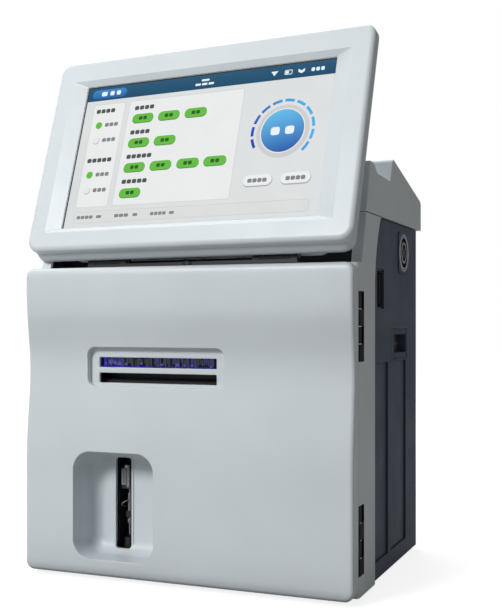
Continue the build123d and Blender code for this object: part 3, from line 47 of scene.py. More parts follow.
class Look:
    """A procedural material: a Principled shader fed by noise in the part's own coordinates."""

    def __init__(self, name, color, roughness, metallic=0.0, specular=0.5):
        self.mat = bpy.data.materials.new(name)
        self.mat.use_nodes = True
        self.tree = self.mat.node_tree
        self.shader = self.tree.nodes["Principled BSDF"]
        self.shader.inputs["Metallic"].default_value = metallic
        self.shader.inputs["Specular IOR Level"].default_value = specular
        self.shader.inputs["Roughness"].default_value = roughness
        self.shader.inputs["Base Color"].default_value = color
        self.coords = self.node("ShaderNodeTexCoord").outputs["Object"]
        self.mat.diffuse_color = color

    def node(self, kind, **settings):
        made = self.tree.nodes.new(kind)
        for key, value in settings.items():
            setattr(made, key, value)
        return made

    def link(self, source, target):
        self.tree.links.new(source, target)

    def noise(self, scale, detail, stretch=(1, 1, 1)):
        mapping = self.node("ShaderNodeMapping")
        mapping.inputs["Scale"].default_value = stretch
        self.link(self.coords, mapping.inputs["Vector"])
        noise = self.node("ShaderNodeTexNoise")
        noise.inputs["Scale"].default_value = scale
        noise.inputs["Detail"].default_value = detail
        noise.inputs["Roughness"].default_value = 0.55
        self.link(mapping.outputs["Vector"], noise.inputs["Vector"])
        return noise.outputs["Fac"]

    def spread(self, value, low, high, start=0.3, end=0.7):
        """Maps a noise value onto the numbers low to high."""
        ranged = self.node("ShaderNodeMapRange")
        ranged.inputs["From Min"].default_value = start
        ranged.inputs["From Max"].default_value = end
        ranged.inputs["To Min"].default_value = low
        ranged.inputs["To Max"].default_value = high
        self.link(value, ranged.inputs["Value"])
        return ranged.outputs["Result"]

    def mix(self, factor, first, second):
        blend = self.node("ShaderNodeMix", data_type="RGBA")
        self.link(factor, blend.inputs["Factor"])
        for slot, color in ((6, first), (7, second)):
            if isinstance(color, tuple):
                blend.inputs[slot].default_value = color
            else:
                self.link(color, blend.inputs[slot])
        return blend.outputs[2]

    def paint(self, color):
        self.link(color, self.shader.inputs["Base Color"])

    def roughness(self, value, low, high):
        self.link(self.spread(value, low, high), self.shader.inputs["Roughness"])

    def bump(self, value, strength, depth):
        bump = self.node("ShaderNodeBump")
        bump.inputs["Strength"].default_value = strength
        bump.inputs["Distance"].default_value = depth
        self.link(value, bump.inputs["Height"])
        self.link(bump.outputs["Normal"], self.shader.inputs["Normal"])

    def along(self, direction, low, high, start, end):
        """Runs from low to high between two distances along a direction of the part's frame."""
        way = self.node("ShaderNodeVectorMath", operation="DOT_PRODUCT")
        self.link(self.coords, way.inputs[0])
        way.inputs[1].default_value = direction
        return self.spread(way.outputs["Value"], low, high, start, end)

    def crown(self, height, profile, most):
        """Leans the shading up or down with height, for a softly crowned moulding, under the fine grain.

        The profile's points are a share of the height and a lean from 0, down, to 1, up.
        """
        curve = self.node("ShaderNodeFloatCurve")
        points = curve.mapping.curves[0].points
        while len(points) < len(profile):
            points.new(0.5, 0.5)
        for point, (share, lean) in zip(points, profile):
            point.location = (share, lean)
        curve.mapping.update()
        self.link(height, curve.inputs["Value"])
        up = self.node("ShaderNodeCombineXYZ")
        self.link(self.spread(curve.outputs["Value"], -most, most, 0, 1), up.inputs["Z"])
        bevel = self.node("ShaderNodeBevel", samples=6)
        bevel.inputs["Radius"].default_value = 0.0015
        lean = self.node("ShaderNodeVectorMath", operation="ADD")
        self.link(bevel.outputs["Normal"], lean.inputs[0])
        self.link(up.outputs["Vector"], lean.inputs[1])
        unit = self.node("ShaderNodeVectorMath", operation="NORMALIZE")
        self.link(lean.outputs["Vector"], unit.inputs[0])
        grain = self.shader.inputs["Normal"].links[0].from_node
        self.link(unit.outputs["Vector"], grain.inputs["Normal"])

    def edges(self, width, low, high):
        """0 on flat faces, rising towards the outer edges: rubbed wear, and on the cabinet moulding also a
        painted highlight.
        """
        bevel = self.node("ShaderNodeBevel", samples=4)
        bevel.inputs["Radius"].default_value = width
        geometry = self.node("ShaderNodeNewGeometry")
        dot = self.node("ShaderNodeVectorMath", operation="DOT_PRODUCT")
        self.link(bevel.outputs["Normal"], dot.inputs[0])
        self.link(geometry.outputs["Normal"], dot.inputs[1])
        return self.spread(dot.outputs["Value"], high, low, 0.75, 0.99)


def shade(color, factor):
    """A colour made darker or lighter, and never lighter than white."""
    return tuple(min(1.0, channel * factor) for channel in color[:3]) + (1.0,)


def plastic(
    name, color, rough,
    grain=2400, depth=0.00006, strength=0.25, wear=1.12, tone=0.03, specular=0.5, edge=0.0012,
):
    """Moulded plastic: fine erosion grain, slow colour drift and lighter outer edges, from rubbing and, on
    the cabinet moulding, from a painted highlight.
    """
    look = Look(name, color, rough, specular=specular)
    drift = look.noise(9, 2)
    body = look.mix(look.spread(drift, 0, 1), shade(color, 1 - tone), shade(color, 1 + tone))
    # edges lighten by the factor wear: rubbed wear, and on the cabinet a painted highlight
    edge_wear_and_highlight = look.edges(edge, 0.0, 0.6)
    look.paint(look.mix(edge_wear_and_highlight, body, shade(color, wear)))
    smudge = look.noise(28, 4)
    look.roughness(smudge, rough - 0.05, rough + 0.06)
    look.bump(look.noise(grain, 2), strength, depth)
    return look


def metal(name, color, rough, stretch=(1, 1, 1), scale=900):
    """Turned or rolled metal with fine directional scratches."""
    look = Look(name, color, rough, metallic=1.0)
    lines = look.noise(scale, 3, stretch)
    look.paint(look.mix(look.spread(lines, 0, 1), shade(color, 0.86), shade(color, 1.1)))
    look.roughness(lines, rough - 0.06, rough + 0.1)
    look.bump(lines, 0.12, 0.00003)
    return look


def rubber(name, color):
    look = Look(name, color, 0.8, specular=0.3)
    dust = look.noise(60, 5)
    look.paint(look.mix(look.spread(dust, 0, 0.5, 0.5, 0.8), color, shade(color, 1.9)))
    look.roughness(dust, 0.7, 0.92)
    look.bump(look.noise(3200, 2), 0.35, 0.00008)
    return look


GLOW_BASE = 0.06
GLOW_SPECULAR = 0.05


def glow(name, color, strength, base=None, rough=0.6):
    """Something lit from behind: a lit screen element, a light guide, or a flow cell whose glow is painted
    light.
    """
    look = Look(name, base or shade(color, GLOW_BASE), rough, specular=GLOW_SPECULAR)
    drift = look.noise(40, 2)
    lit = look.mix(look.spread(drift, 0, 1), shade(color, 0.985), shade(color, 1.015))
    look.link(lit, look.shader.inputs["Emission Color"])
    look.shader.inputs["Emission Strength"].default_value = strength
    return look


PANE_IOR = 1.46


def clear_pane(name, tint, gloss_rough, through, mirror):
    """A thin clear pane: mostly see-through, with a share of its surface's own reflection."""
    look = Look(name, tint, gloss_rough)
    see = look.node("ShaderNodeBsdfTransparent")
    see.inputs["Color"].default_value = shade(tint, through)
    gloss = look.node("ShaderNodeBsdfGlossy")
    gloss.inputs["Roughness"].default_value = gloss_rough
    fresnel = look.node("ShaderNodeFresnel")
    fresnel.inputs["IOR"].default_value = PANE_IOR
    smear = look.noise(35, 4)
    wipe = look.node("ShaderNodeBump")
    wipe.inputs["Strength"].default_value = 0.02
    wipe.inputs["Distance"].default_value = 0.0001
    look.link(smear, wipe.inputs["Height"])
    look.link(wipe.outputs["Normal"], gloss.inputs["Normal"])
    blend = look.node("ShaderNodeMixShader")
    share = look.node("ShaderNodeMath", operation="MULTIPLY")
    share.inputs[1].default_value = mirror
    look.link(fresnel.outputs["Fac"], share.inputs[0])
    look.link(share.outputs["Value"], blend.inputs["Fac"])
    look.link(see.outputs["BSDF"], blend.inputs[1])
    look.link(gloss.outputs["BSDF"], blend.inputs[2])
    look.link(blend.outputs["Shader"], look.tree.nodes["Material Output"].inputs["Surface"])
    return look


# the display's own directions and the foot of its bezel, as it rests in the photograph
YAW = radians(-4.5)
TILT = radians(17.12)
SWIVEL_FOOT = Vector((0, -0.094, 0.2973))
DISPLAY_REACH = 0.0247
SCREEN_RIGHT = Vector((cos(YAW), sin(YAW), 0))
SCREEN_BACK = Vector((-sin(YAW), cos(YAW), 0))
SCREEN_UP = SCREEN_BACK * sin(TILT) + Vector((0, 0, cos(TILT)))
SCREEN_OUT = SCREEN_BACK * -cos(TILT) + Vector((0, 0, sin(TILT)))
SCREEN_ORIGIN = SWIVEL_FOOT + SCREEN_BACK * -DISPLAY_REACH

DOOR = linear(205, 213, 218)
NAVY = linear(69, 79, 98)
BOARD = linear(28, 82, 58)
WHITE = (1, 1, 1, 1)

door_plastic = plastic("door_moulding", DOOR, 0.42)
DOOR_FOOT = 0.004
DOOR_TOP = 0.28
CROWN_LEAN = 1.2
DOOR_CROWN = (
    (0.0, 0.1), (0.02, 0.36), (0.05, 0.49), (0.36, 0.5), (0.527, 0.49), (0.66, 0.49),
    (0.8, 0.385), (0.88, 0.47), (0.965, 0.485), (0.988, 0.62), (1.0, 0.95),
)
door_plastic.crown(door_plastic.along((0, 0, 1), 0, 1, DOOR_FOOT, DOOR_TOP), DOOR_CROWN, CROWN_LEAN)
display_plastic = plastic("display_moulding", DOOR, 0.4)
housing_plastic = plastic("display_housing", DOOR, 0.4)

# painted shade: the housing's rim darkens below the bezel's foot, in the gap above the door
foot_of_bezel = SCREEN_ORIGIN.dot(SCREEN_UP)
shadow_run = housing_plastic.along(SCREEN_UP, 0.15, 1, foot_of_bezel - 0.009, foot_of_bezel + 0.001)
housing_base = housing_plastic.shader.inputs["Base Color"].links[0].from_socket
housing_plastic.paint(housing_plastic.mix(shadow_run, (0.02, 0.02, 0.02, 1), housing_base))

# the cabinet's edges are lightened well past rubbing: a painted highlight along its bevels
cabinet_plastic = plastic("cabinet_moulding", DOOR, 0.48, grain=1700, strength=0.35, wear=1.5, edge=0.0022)
NAVY_GRAIN = {"grain": 1500, "depth": 0.0001, "strength": 0.45, "wear": 1.35, "specular": 0.12}
navy_plastic = plastic("navy_panel_moulding", NAVY, 0.5, **NAVY_GRAIN)
drawer_plastic = plastic("navy_drawer_moulding", shade(NAVY, 0.95), 0.48, **NAVY_GRAIN)
black_plastic = plastic("black_moulding", linear(30, 31, 34), 0.45, wear=1.8)
button_plastic = plastic("key_moulding", linear(38, 42, 50), 0.42, wear=1.7)
grey_plastic = plastic("grey_moulding", linear(112, 112, 114), 0.45)
hinge_plastic = plastic("hinge_moulding", linear(8, 8, 9), 0.6, wear=1.3, specular=0.1)
pump_plastic = plastic("pump_moulding", linear(205, 204, 198), 0.35)
bottle_plastic = plastic("bottle_moulding", linear(214, 217, 212), 0.38, grain=900)
pack_plastic = plastic("pack_carton", linear(222, 222, 219), 0.6, grain=1300)
steel = metal("ground_steel", linear(190, 191, 195), 0.28)
washer_metal = metal("washer_steel", linear(228, 228, 230), 0.4)
screw_metal = metal("screw_steel", linear(160, 161, 165), 0.34)
motor_metal = metal("motor_casing", linear(70, 71, 75), 0.45, (1, 1, 8))
sheet_metal = metal("zinc_sheet", linear(168, 170, 172), 0.42, (1, 9, 1), 300)
foot_rubber = rubber("foot_rubber", linear(34, 34, 35))
platen_rubber = rubber("platen_rubber", linear(44, 44, 46))
tube_silicone = rubber("silicone_tube", linear(196, 190, 176))
paper = plastic("thermal_paper", linear(238, 238, 234), 0.7, grain=1800, strength=0.15, wear=1.0, tone=0.01)
BOARD_GRAIN = {"grain": 500, "strength": 0.5, "wear": 1.3, "tone": 0.12}
board_green = plastic("solder_mask", BOARD, 0.3, **BOARD_GRAIN)
board_plain = plastic("display_solder_mask", BOARD, 0.3, **BOARD_GRAIN)
cassette_blue = plastic("cassette_moulding", linear(40, 42, 92), 0.25, wear=1.4)
window_pane = clear_pane("smoked_pane", linear(208, 212, 226), 0.04, 0.85, 0.6)
touch_pane = clear_pane("touch_pane", linear(250, 252, 253), 0.05, 0.985, 0.1)
screen_lit = glow("screen_background", linear(230, 230, 229), 0.965)
light_guide = glow("light_guide", linear(92, 96, 235), 1.6, linear(120, 125, 230))


def wear(look, *names):
    """Gives a look to the CAD nodes named."""
    for name in names:
        mesh = nodes[name].data
        mesh.materials.clear()
        mesh.materials.append(look.mat)


wear(door_plastic, "front_door")
wear(display_plastic, "display_bezel")
wear(housing_plastic, "display_rear_shell")
wear(cabinet_plastic, "front_frame", "top_cover")
wear(navy_plastic, "left_panel", "right_panel", "rear_panel", "side_vent")
wear(drawer_plastic, "waste_drawer", "reagent_drawer")
wear(
    black_plastic,
    "display_bay", "tilt_carrier", "display_ears", "side_ports", "power_inlet", "power_rocker",
    "fan_frame", "fan_rotor", "sampler_bracket", "probe_arm", "printer_frame", "print_head", "sensor_block",
)
wear(button_plastic, "release_button")
wear(hinge_plastic, "door_knuckles", "frame_knuckles", "swivel_post")
wear(washer_metal, "door_hinge_pins")
wear(steel, "tilt_pins", "probe_needle", "roll_spindle")
wear(screw_metal, "case_screws")
wear(grey_plastic, "door_catch")
wear(sheet_metal, "base_tray", "bulkhead", "drawer_guides", "power_supply")
wear(foot_rubber, "feet")
wear(platen_rubber, "platen_roller")
wear(window_pane, "door_window")
wear(touch_pane, "touch_glass")
wear(screen_lit, "lcd_panel")
wear(light_guide, "light_bar")
wear(board_green, "mainboard")
wear(board_plain, "display_board")
wear(cassette_blue, "sensor_cassette")
wear(motor_metal, "pump_motor", "valve_motor")
wear(pump_plastic, "pump_head", "pump_rotor", "pump_roller_1", "pump_roller_2", "valve_body", "valve_rotor")
wear(tube_silicone, "fluid_lines")
wear(paper, "paper_roll")
wear(bottle_plastic, "waste_bottle")
wear(pack_plastic, "reagent_pack")

# the parts that stand on the mainboard are dark, and only its plate is green
BOARD_FACE = -0.14885
split = board_green.node("ShaderNodeSeparateXYZ")
board_green.link(board_green.coords, split.inputs["Vector"])
raised = board_green.node("ShaderNodeMath", operation="GREATER_THAN")
raised.inputs[1].default_value = BOARD_FACE
board_green.link(split.outputs["X"], raised.inputs[0])
mask_green = board_green.shader.inputs["Base Color"].links[0].from_socket
board_green.paint(board_green.mix(raised.outputs["Value"], mask_green, linear(36, 37, 40)))

for node in nodes.values():
    if node.type == "MESH":
        for face in node.data.polygons:
            face.use_smooth = True
        smooth = node.modifiers.new("smooth", "WEIGHTED_NORMAL")
        smooth.keep_sharp = True


# ------------------------------------------------------------------ pieces
def place(name, mesh, look, body):
    """Makes a piece that rides on a body and wears the look given."""
    obj = bpy.data.objects.new(name, mesh)
    bpy.context.collection.objects.link(obj)
    mesh.materials.append(look.mat)
    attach(obj, body)
    return obj


# the lit area of the screen, in mm, and its foot above the foot of the bezel
LIT_WIDTH = 256
LIT_HEIGHT = 144
LIT_FOOT = 23.5


def on_screen(u, v, depth=5.9):
    """A point on the lit area: u from its left, v from its top, in mm, depth behind the bezel."""
    return (
        SCREEN_ORIGIN
        + SCREEN_RIGHT * ((u - LIT_WIDTH / 2) / 1000)
        + SCREEN_UP * ((LIT_FOOT + LIT_HEIGHT - v) / 1000)
        - SCREEN_OUT * (depth / 1000)
    )


def flat(name, outlines, look, depth):
    """Thin shapes on the lit screen, each a list of (u, v) points."""
    bm = bmesh.new()
    for outline in outlines:
        front = [bm.verts.new(on_screen(u, v, depth)) for u, v in outline]
        face = bm.faces.new(front)
        face.normal_update()
        if face.normal.dot(SCREEN_OUT) < 0:
            face.normal_flip()
    mesh = bpy.data.meshes.new(name)
    bm.to_mesh(mesh)
    bm.free()
    return place(name, mesh, look, "display")


def rounded(u, v, width, height, radius, steps=6):
    """Outline of a rounded rectangle with its top left corner at (u, v)."""
    points = []
    radius = min(radius, width / 2, height / 2)
    corners = (
        (u + width - radius, v + radius, -90),
        (u + width - radius, v + height - radius, 0),
        (u + radius, v + height - radius, 90),
        (u + radius, v + radius, 180),
    )
    for cu, cv, start in corners:
        for step in range(steps + 1):
            turn = radians(start + 90 * step / steps)
            points.append((cu + radius * cos(turn), cv + radius * sin(turn)))
    return points


def pill(u, v, width, height):
    return rounded(u - width / 2, v - height / 2, width, height, height / 2, 8)


def disc(u, v, radius, steps=48):
    turns = [2 * pi * k / steps for k in range(steps)]
    return [(u + radius * cos(turn), v + radius * sin(turn)) for turn in turns]


def frame_lines(u, v, width, height, radius, line):
    """The rim of a rounded rectangle, as a closed strip of quads."""
    outer = rounded(u, v, width, height, radius)
    inner = rounded(u + line, v + line, width - 2 * line, height - 2 * line, max(radius - line, 0.1))
    count = len(outer)
    return [[outer[k], outer[(k + 1) % count], inner[(k + 1) % count], inner[k]] for k in range(count)]


def words(u, v, count, width, height, gap):
    """A row of small plain blocks where the screen shows a line of writing."""
    return [
        rounded(u + k * (width + gap), v - height / 2, width, height, height * 0.28, 3) for k in range(count)
    ]


def arc(u, v, radius, start, end, line, steps=6):
    """Outline of a piece of a ring, between two angles in degrees."""
    outer = []
    inner = []
    for step in range(steps + 1):
        turn = radians(start + (end - start) * step / steps)
        outer.append((u + (radius + line / 2) * cos(turn), v + (radius + line / 2) * sin(turn)))
        inner.append((u + (radius - line / 2) * cos(turn), v + (radius - line / 2) * sin(turn)))
    return outer + inner[::-1]


LIT = 0.98


def graded(name, start, end, low, high):
    """A lit colour that runs from start to end between two points of the screen."""
    look = Look(name, shade(start, GLOW_BASE), 0.6, specular=GLOW_SPECULAR)
    low = on_screen(*low)
    high = on_screen(*high)
    mapping = look.node("ShaderNodeVectorMath", operation="SUBTRACT")
    look.link(look.coords, mapping.inputs[0])
    mapping.inputs[1].default_value = low
    way = look.node("ShaderNodeVectorMath", operation="DOT_PRODUCT")
    look.link(mapping.outputs["Vector"], way.inputs[0])
    run = high - low
    way.inputs[1].default_value = run / run.length_squared
    lit = look.mix(look.spread(way.outputs["Value"], 0, 1, 0, 1), start, end)
    look.link(lit, look.shader.inputs["Emission Color"])
    look.shader.inputs["Emission Strength"].default_value = LIT
    return look


bar_blue = graded("screen_bar", linear(46, 90, 120), linear(30, 76, 106), (0, 0), (0, 14))
menu_blue = graded("screen_menu_pill", linear(66, 138, 200), linear(38, 104, 168), (0, 2), (0, 11))
panel_light = glow("screen_panel", linear(236, 236, 235), LIT)
panel_line = glow("screen_panel_line", linear(206, 206, 206), LIT)
panel_low = glow("screen_status_bar", linear(222, 222, 221), LIT)
pill_green = glow("screen_green", linear(104, 188, 70), LIT)
pill_halo = glow("screen_green_halo", linear(240, 238, 241), LIT)
pill_shadow = glow("screen_green_shadow", linear(70, 140, 52), LIT)
ink_dark = glow("screen_ink_dark", linear(82, 84, 86), LIT)
ink_mid = glow("screen_ink_mid", linear(134, 134, 134), LIT)
ink_green = glow("screen_ink_on_green", linear(46, 96, 36), LIT)
ink_white = glow("screen_ink_white", linear(236, 243, 248), LIT)
dot_light = glow("screen_dot_light", linear(232, 232, 231), LIT)
key_light = glow("screen_key_light", linear(238, 238, 238), LIT)
key_shadow = glow("screen_key_shadow", linear(176, 176, 176), LIT)
ring_grey = glow("screen_ring", linear(206, 206, 206), LIT)
ring_pale = glow("screen_ring_pale", linear(240, 232, 226), LIT)
disc_blue = graded("screen_round_key", linear(104, 188, 236), linear(38, 84, 168), (208, 44), (216, 83))
dash_blue = graded("screen_dashes", linear(34, 74, 172), linear(84, 178, 238), (188, 76), (236, 56))

# how deep the layers of the picture lie behind the bezel, in mm
MARK = 5.95
FACE = 6.0
RIM = 6.05
HALO = 6.08
BAR = 6.1
BACK = 6.12

BAR_MIDDLE = 6.9
flat("ui_bar", [rounded(0, 0, LIT_WIDTH, 2 * BAR_MIDDLE, 0.2)], bar_blue, BAR)
flat("ui_menu_pill", [pill(24.2, BAR_MIDDLE, 39, 9.2)], menu_blue, RIM)
flat("ui_menu_marks", [
    *words(15.2, BAR_MIDDLE, 1, 6.4, 4.6, 1),
    *words(25, BAR_MIDDLE, 2, 4.6, 4.6, 2.6),
], ink_white, FACE)
flat("ui_clock", words(124.5, 5.0, 1, 8, 2.0, 1) + words(118.5, 9.0, 3, 5.6, 2.2, 1.2), ink_white, FACE)
flat("ui_icons", [
    [(194.6, 5), (201.4, 5), (198, 9.6)],
    *frame_lines(207.8, 5.0, 7.4, 4.6, 1, 0.7),
    rounded(208.8, 6, 3, 2.6, 0.3),
    [(220.8, 5.2), (223.9, 7), (227, 5.2), (227, 8), (223.9, 9.8), (220.8, 8)],
    *words(233.2, 7.3, 3, 3.3, 3.6, 1.2),
], ink_white, FACE)

# panels and status bar: left, top, width, height and corner radius
PANELS = ((9, 18, 36, 106.3, 3), (49.6, 18, 121.2, 106.3, 3))
STATUS_BAR = (9.6, 128.4, 237, 11.4, 2)
PANEL_LINE = 0.5
flat("ui_panels", [rounded(*panel) for panel in PANELS], panel_light, BACK)
flat("ui_panel_lines", [
    quad for panel in (*PANELS, STATUS_BAR) for quad in frame_lines(*panel, PANEL_LINE)
], panel_line, RIM)
flat("ui_status_bar", [rounded(*STATUS_BAR)], panel_low, BACK)

# writing in the status bar: left, blocks, width, height and gap
STATUS_MIDDLE = 134
STATUS_WORDS = (
    (13, 4, 4.0, 3.2, 0.6), (34.6, 1, 5.8, 2.8, 1), (54.6, 3, 4.6, 3.2, 0.6),
    (74.4, 1, 5.0, 2.8, 1), (93, 4, 3.6, 3.2, 0.6), (112.6, 1, 5.0, 2.8, 1),
)
flat("ui_status_marks", [
    block for left, *shape in STATUS_WORDS for block in words(left, STATUS_MIDDLE, *shape)
], ink_mid, FACE)

# headings: left, middle, blocks and width of a block
HEADINGS = (
    (13, 25.4, 4, 4.6), (13, 76.7, 5, 4.7), (56.4, 26, 4, 4.6),
    (56, 51.1, 4, 4.6), (56.6, 75.8, 5, 4.7), (56.2, 100.8, 5, 4.7),
)
flat("ui_headings", [
    block for heading in HEADINGS for block in words(*heading, 4.2, 0.85)
], ink_dark, FACE)

# the choices in the left panel
CHOSEN = (40.2, 91.4)
NOT_CHOSEN = (56, 107.2)
CHOICES = (40.2, 56, 91.4, 107.2)
flat("ui_choice_marks", [block for v in CHOICES for block in words(25.4, v, 3, 4.3, 3.9, 0.8)], ink_mid, FACE)
flat("ui_choices_on", [disc(18.5, v, 3.6) for v in CHOSEN], pill_green, FACE)
flat("ui_choices_rim", [disc(18.7, v + 0.25, 3.6) for v in NOT_CHOSEN], key_shadow, FACE + 0.04)
flat("ui_choices_off", [disc(18.4, v - 0.2, 3.3) for v in NOT_CHOSEN], dot_light, FACE)

# rows of green keys: their middle and how many stand in the row
PILL_ROWS = ((36.8, 3), (61.8, 2), (86.7, 4), (112, 1))
PILL_COLUMNS = (67.1, 95.2, 123.5, 151.1)
pills = [(u, v) for v, count in PILL_ROWS for u in PILL_COLUMNS[:count]]
flat("ui_pill_halo", [pill(u, v, 25, 11.2) for u, v in pills], pill_halo, HALO)
flat("ui_pill_shadow", [pill(u, v + 0.6, 23.2, 9.4) for u, v in pills], pill_shadow, RIM)
flat("ui_pills", [pill(u, v, 23, 9.0) for u, v in pills], pill_green, FACE)
flat("ui_pill_marks", [
    block for u, v in pills for block in words(u - 4.4, v, 2, 3.9, 3.6, 0.9)
], ink_green, MARK)

# the round key in its broken ring
ROUND_KEY = (213.2, 63.4)
flat("ui_ring_shadow", [disc(ROUND_KEY[0] + 0.2, ROUND_KEY[1] + 0.5, 25)], ring_grey, HALO + 0.01)
flat("ui_ring_pale", [disc(*ROUND_KEY, 21.2)], ring_pale, RIM)
flat("ui_round_key", [disc(*ROUND_KEY, 20.2, 64)], disc_blue, FACE)
flat("ui_round_key_marks", words(202.2, ROUND_KEY[1], 2, 8.4, 7.6, 5.2), ink_white, MARK)
DASHES = 11
DASH_START = 150
DASH_STEP = 23.6
DASH_TURN = 18.2
dash_starts = [DASH_START + k * DASH_STEP for k in range(DASHES)]
flat("ui_dashes", [
    arc(*ROUND_KEY, 28.8, start, start + DASH_TURN, 2.7) for start in dash_starts
], dash_blue, FACE)

flat("ui_key_shadow", [pill(u, 109.2, 28, 11) for u in (196.0, 231.7)], key_shadow, RIM)
flat("ui_keys", [pill(u, 108.4, 27.4, 10) for u in (195.6, 231.3)], key_light, FACE)
flat("ui_key_marks", [
    block for u in (186.4, 222.2) for block in words(u, 108.6, 4, 4.1, 3.8, 0.6)
], ink_mid, MARK)
flat("ui_screen_rim", frame_lines(-1.5, -1.5, 259, 147, 0.5, 1.5), black_plastic, BAR)


# ------------------------------------------------------------------ small fittings
def bars(name, boxes, look, body, soften):
    """Small blocks with softened edges, each given by its lowest and highest corner in mm."""
    bm = bmesh.new()
    for low, high in boxes:
        made = bmesh.ops.create_cube(bm, size=1)["verts"]
        for vert in made:
            vert.co = Vector([
                (low[k] if vert.co[k] < 0 else high[k]) / 1000 for k in range(3)
            ])
    mesh = bpy.data.meshes.new(name)
    bm.to_mesh(mesh)
    bm.free()
    obj = place(name, mesh, look, body)
    bevel = obj.modifiers.new("soften", "BEVEL")
    bevel.width = soften
    bevel.segments = 2
    return obj


def turned(name, shapes, look, body, steps):
    """Turned rings and caps: each shape is a centre in mm, an axis and a closed (radius, height) profile."""
    bm = bmesh.new()
    for center, axis, profile in shapes:
        along = Vector(axis).normalized()
        turn = along.to_track_quat("Z", "Y")
        rings = []
        for k in range(steps):
            angle = 2 * pi * k / steps
            rings.append([
                bm.verts.new((Vector(center) + turn @ Vector((r * cos(angle), r * sin(angle), h))) / 1000)
                for r, h in profile
            ])
        count = len(profile)
        for k in range(steps):
            here = rings[k]
            there = rings[(k + 1) % steps]
            for i in range(count):
                j = (i + 1) % count
                bm.faces.new([here[i], there[i], there[j], here[j]])
    bmesh.ops.remove_doubles(bm, verts=bm.verts, dist=0.00001)
    bmesh.ops.recalc_face_normals(bm, faces=bm.faces)
    mesh = bpy.data.meshes.new(name)
    bm.to_mesh(mesh)
    bm.free()
    for face in mesh.polygons:
        face.use_smooth = True
    obj = place(name, mesh, look, body)
    smooth = obj.modifiers.new("smooth", "WEIGHTED_NORMAL")
    smooth.keep_sharp = True
    return obj


def hose(name, points, radius, look, body):
    """A smooth round line through the given points, in mm."""
    curve = bpy.data.curves.new(name, "CURVE")
    curve.dimensions = "3D"
    curve.bevel_depth = radius / 1000
    curve.bevel_resolution = 4
    curve.use_fill_caps = True
    spline = curve.splines.new("NURBS")
    spline.points.add(len(points) - 1)
    for point, co in zip(spline.points, points):
        point.co = (*[value / 1000 for value in co], 1)
    spline.order_u = 3
    spline.use_endpoint_u = True
    return place(name, curve, look, body)


# flow cells behind the upper slot, their glow a painted light for the light bar shining through them
draw = random.Random(41)
CELL_FRONT = -98.7
CELL_BACK = -98.05
CELL_FOOT = 190.6
CELL_TOP = 200.6
CELL_LEFT = -91.4
CELL_RIGHT = 26.4
CASSETTE_LEFT = -80.05
BAR_FRONT = -96.02
CELL_SOFTEN = 0.00008
cell_dark = plastic("cell_dark", linear(38, 38, 42), 0.4)
# the cells' emission is painted light, standing for the backlight through them
cell_grey = glow("cell_grey", linear(108, 108, 112), 1.0, linear(96, 96, 100), 0.4)
cell_pale = glow("cell_pale", linear(118, 112, 204), 1.3, linear(120, 120, 160), 0.4)
cell_violet = glow("cell_violet", linear(70, 64, 206), 1.5, linear(60, 60, 150), 0.4)


def cell(left, right, foot, top, proud=0.0):
    """A block of the flow cells between two x and two z, standing proud of the others' front."""
    return (left, CELL_FRONT - proud, foot), (right, CELL_BACK, top)


greys = []
violets = []
pales = []
x = CELL_LEFT + 12
while x < CELL_RIGHT:
    width = draw.uniform(0.5, 1.3)
    foot = CELL_FOOT + draw.choice((0.4, 0.4, 2.2, 3.4))
    top = CELL_TOP - draw.choice((0, 0, 0, 1.4, 2.6))
    greys.append(cell(x, x + width, foot, top))
    x += width + draw.uniform(0.35, 0.95)
x = CELL_LEFT + 9.5
while x < CELL_RIGHT - 2:
    width = draw.uniform(0.7, 1.7)
    if draw.random() < 0.55:
        violets.append(cell(x, x + width, CELL_TOP - draw.uniform(3.5, 6), CELL_TOP, 0.25))
    if draw.random() < 0.4:
        foot = CELL_FOOT + draw.uniform(0.9, 2.4)
        pales.append(cell(x - 0.8, x + width + 0.5, foot, foot + draw.uniform(1.2, 2.8), 0.3))
    x += width + draw.uniform(2.2, 5.2)
violets.append(cell(CELL_LEFT, CELL_LEFT + 1.9, CELL_FOOT, CELL_TOP, 0.3))
violets.append(cell(CELL_LEFT + 8.2, CELL_LEFT + 10.4, CELL_FOOT, CELL_TOP, 0.3))
violets.append(cell(CELL_LEFT, CELL_RIGHT, CELL_FOOT, CELL_FOOT + 0.7, 0.15))
for k in range(3):
    left = CELL_LEFT + 13 + 4.6 * k
    foot = CELL_FOOT + 3.4 - k
    pales.append(cell(left, left + 3.6, foot, foot + 3, 0.35))
darks = [cell(CELL_LEFT + 2.1, CELL_LEFT + 8, CELL_FOOT + 0.7, CELL_TOP, 0.1)]
for k in range(9):
    left = CELL_LEFT + 20 + 9.2 * k
    darks.append(cell(left, left + 1.6, CELL_FOOT + 0.8, CELL_TOP, 0.1))
bars("cell_end", [
    ((CELL_LEFT - 0.4, CELL_BACK, CELL_FOOT - 0.6), (CASSETTE_LEFT, BAR_FRONT, CELL_TOP + 0.6)),
], cell_dark, "cabinet", 0.0003)
bars("cell_ribs", greys, cell_grey, "cabinet", CELL_SOFTEN)
bars("cell_lights", violets, cell_violet, "cabinet", CELL_SOFTEN)
bars("cell_windows", pales, cell_pale, "cabinet", CELL_SOFTEN)
bars("cell_gaps", darks, cell_dark, "cabinet", CELL_SOFTEN)

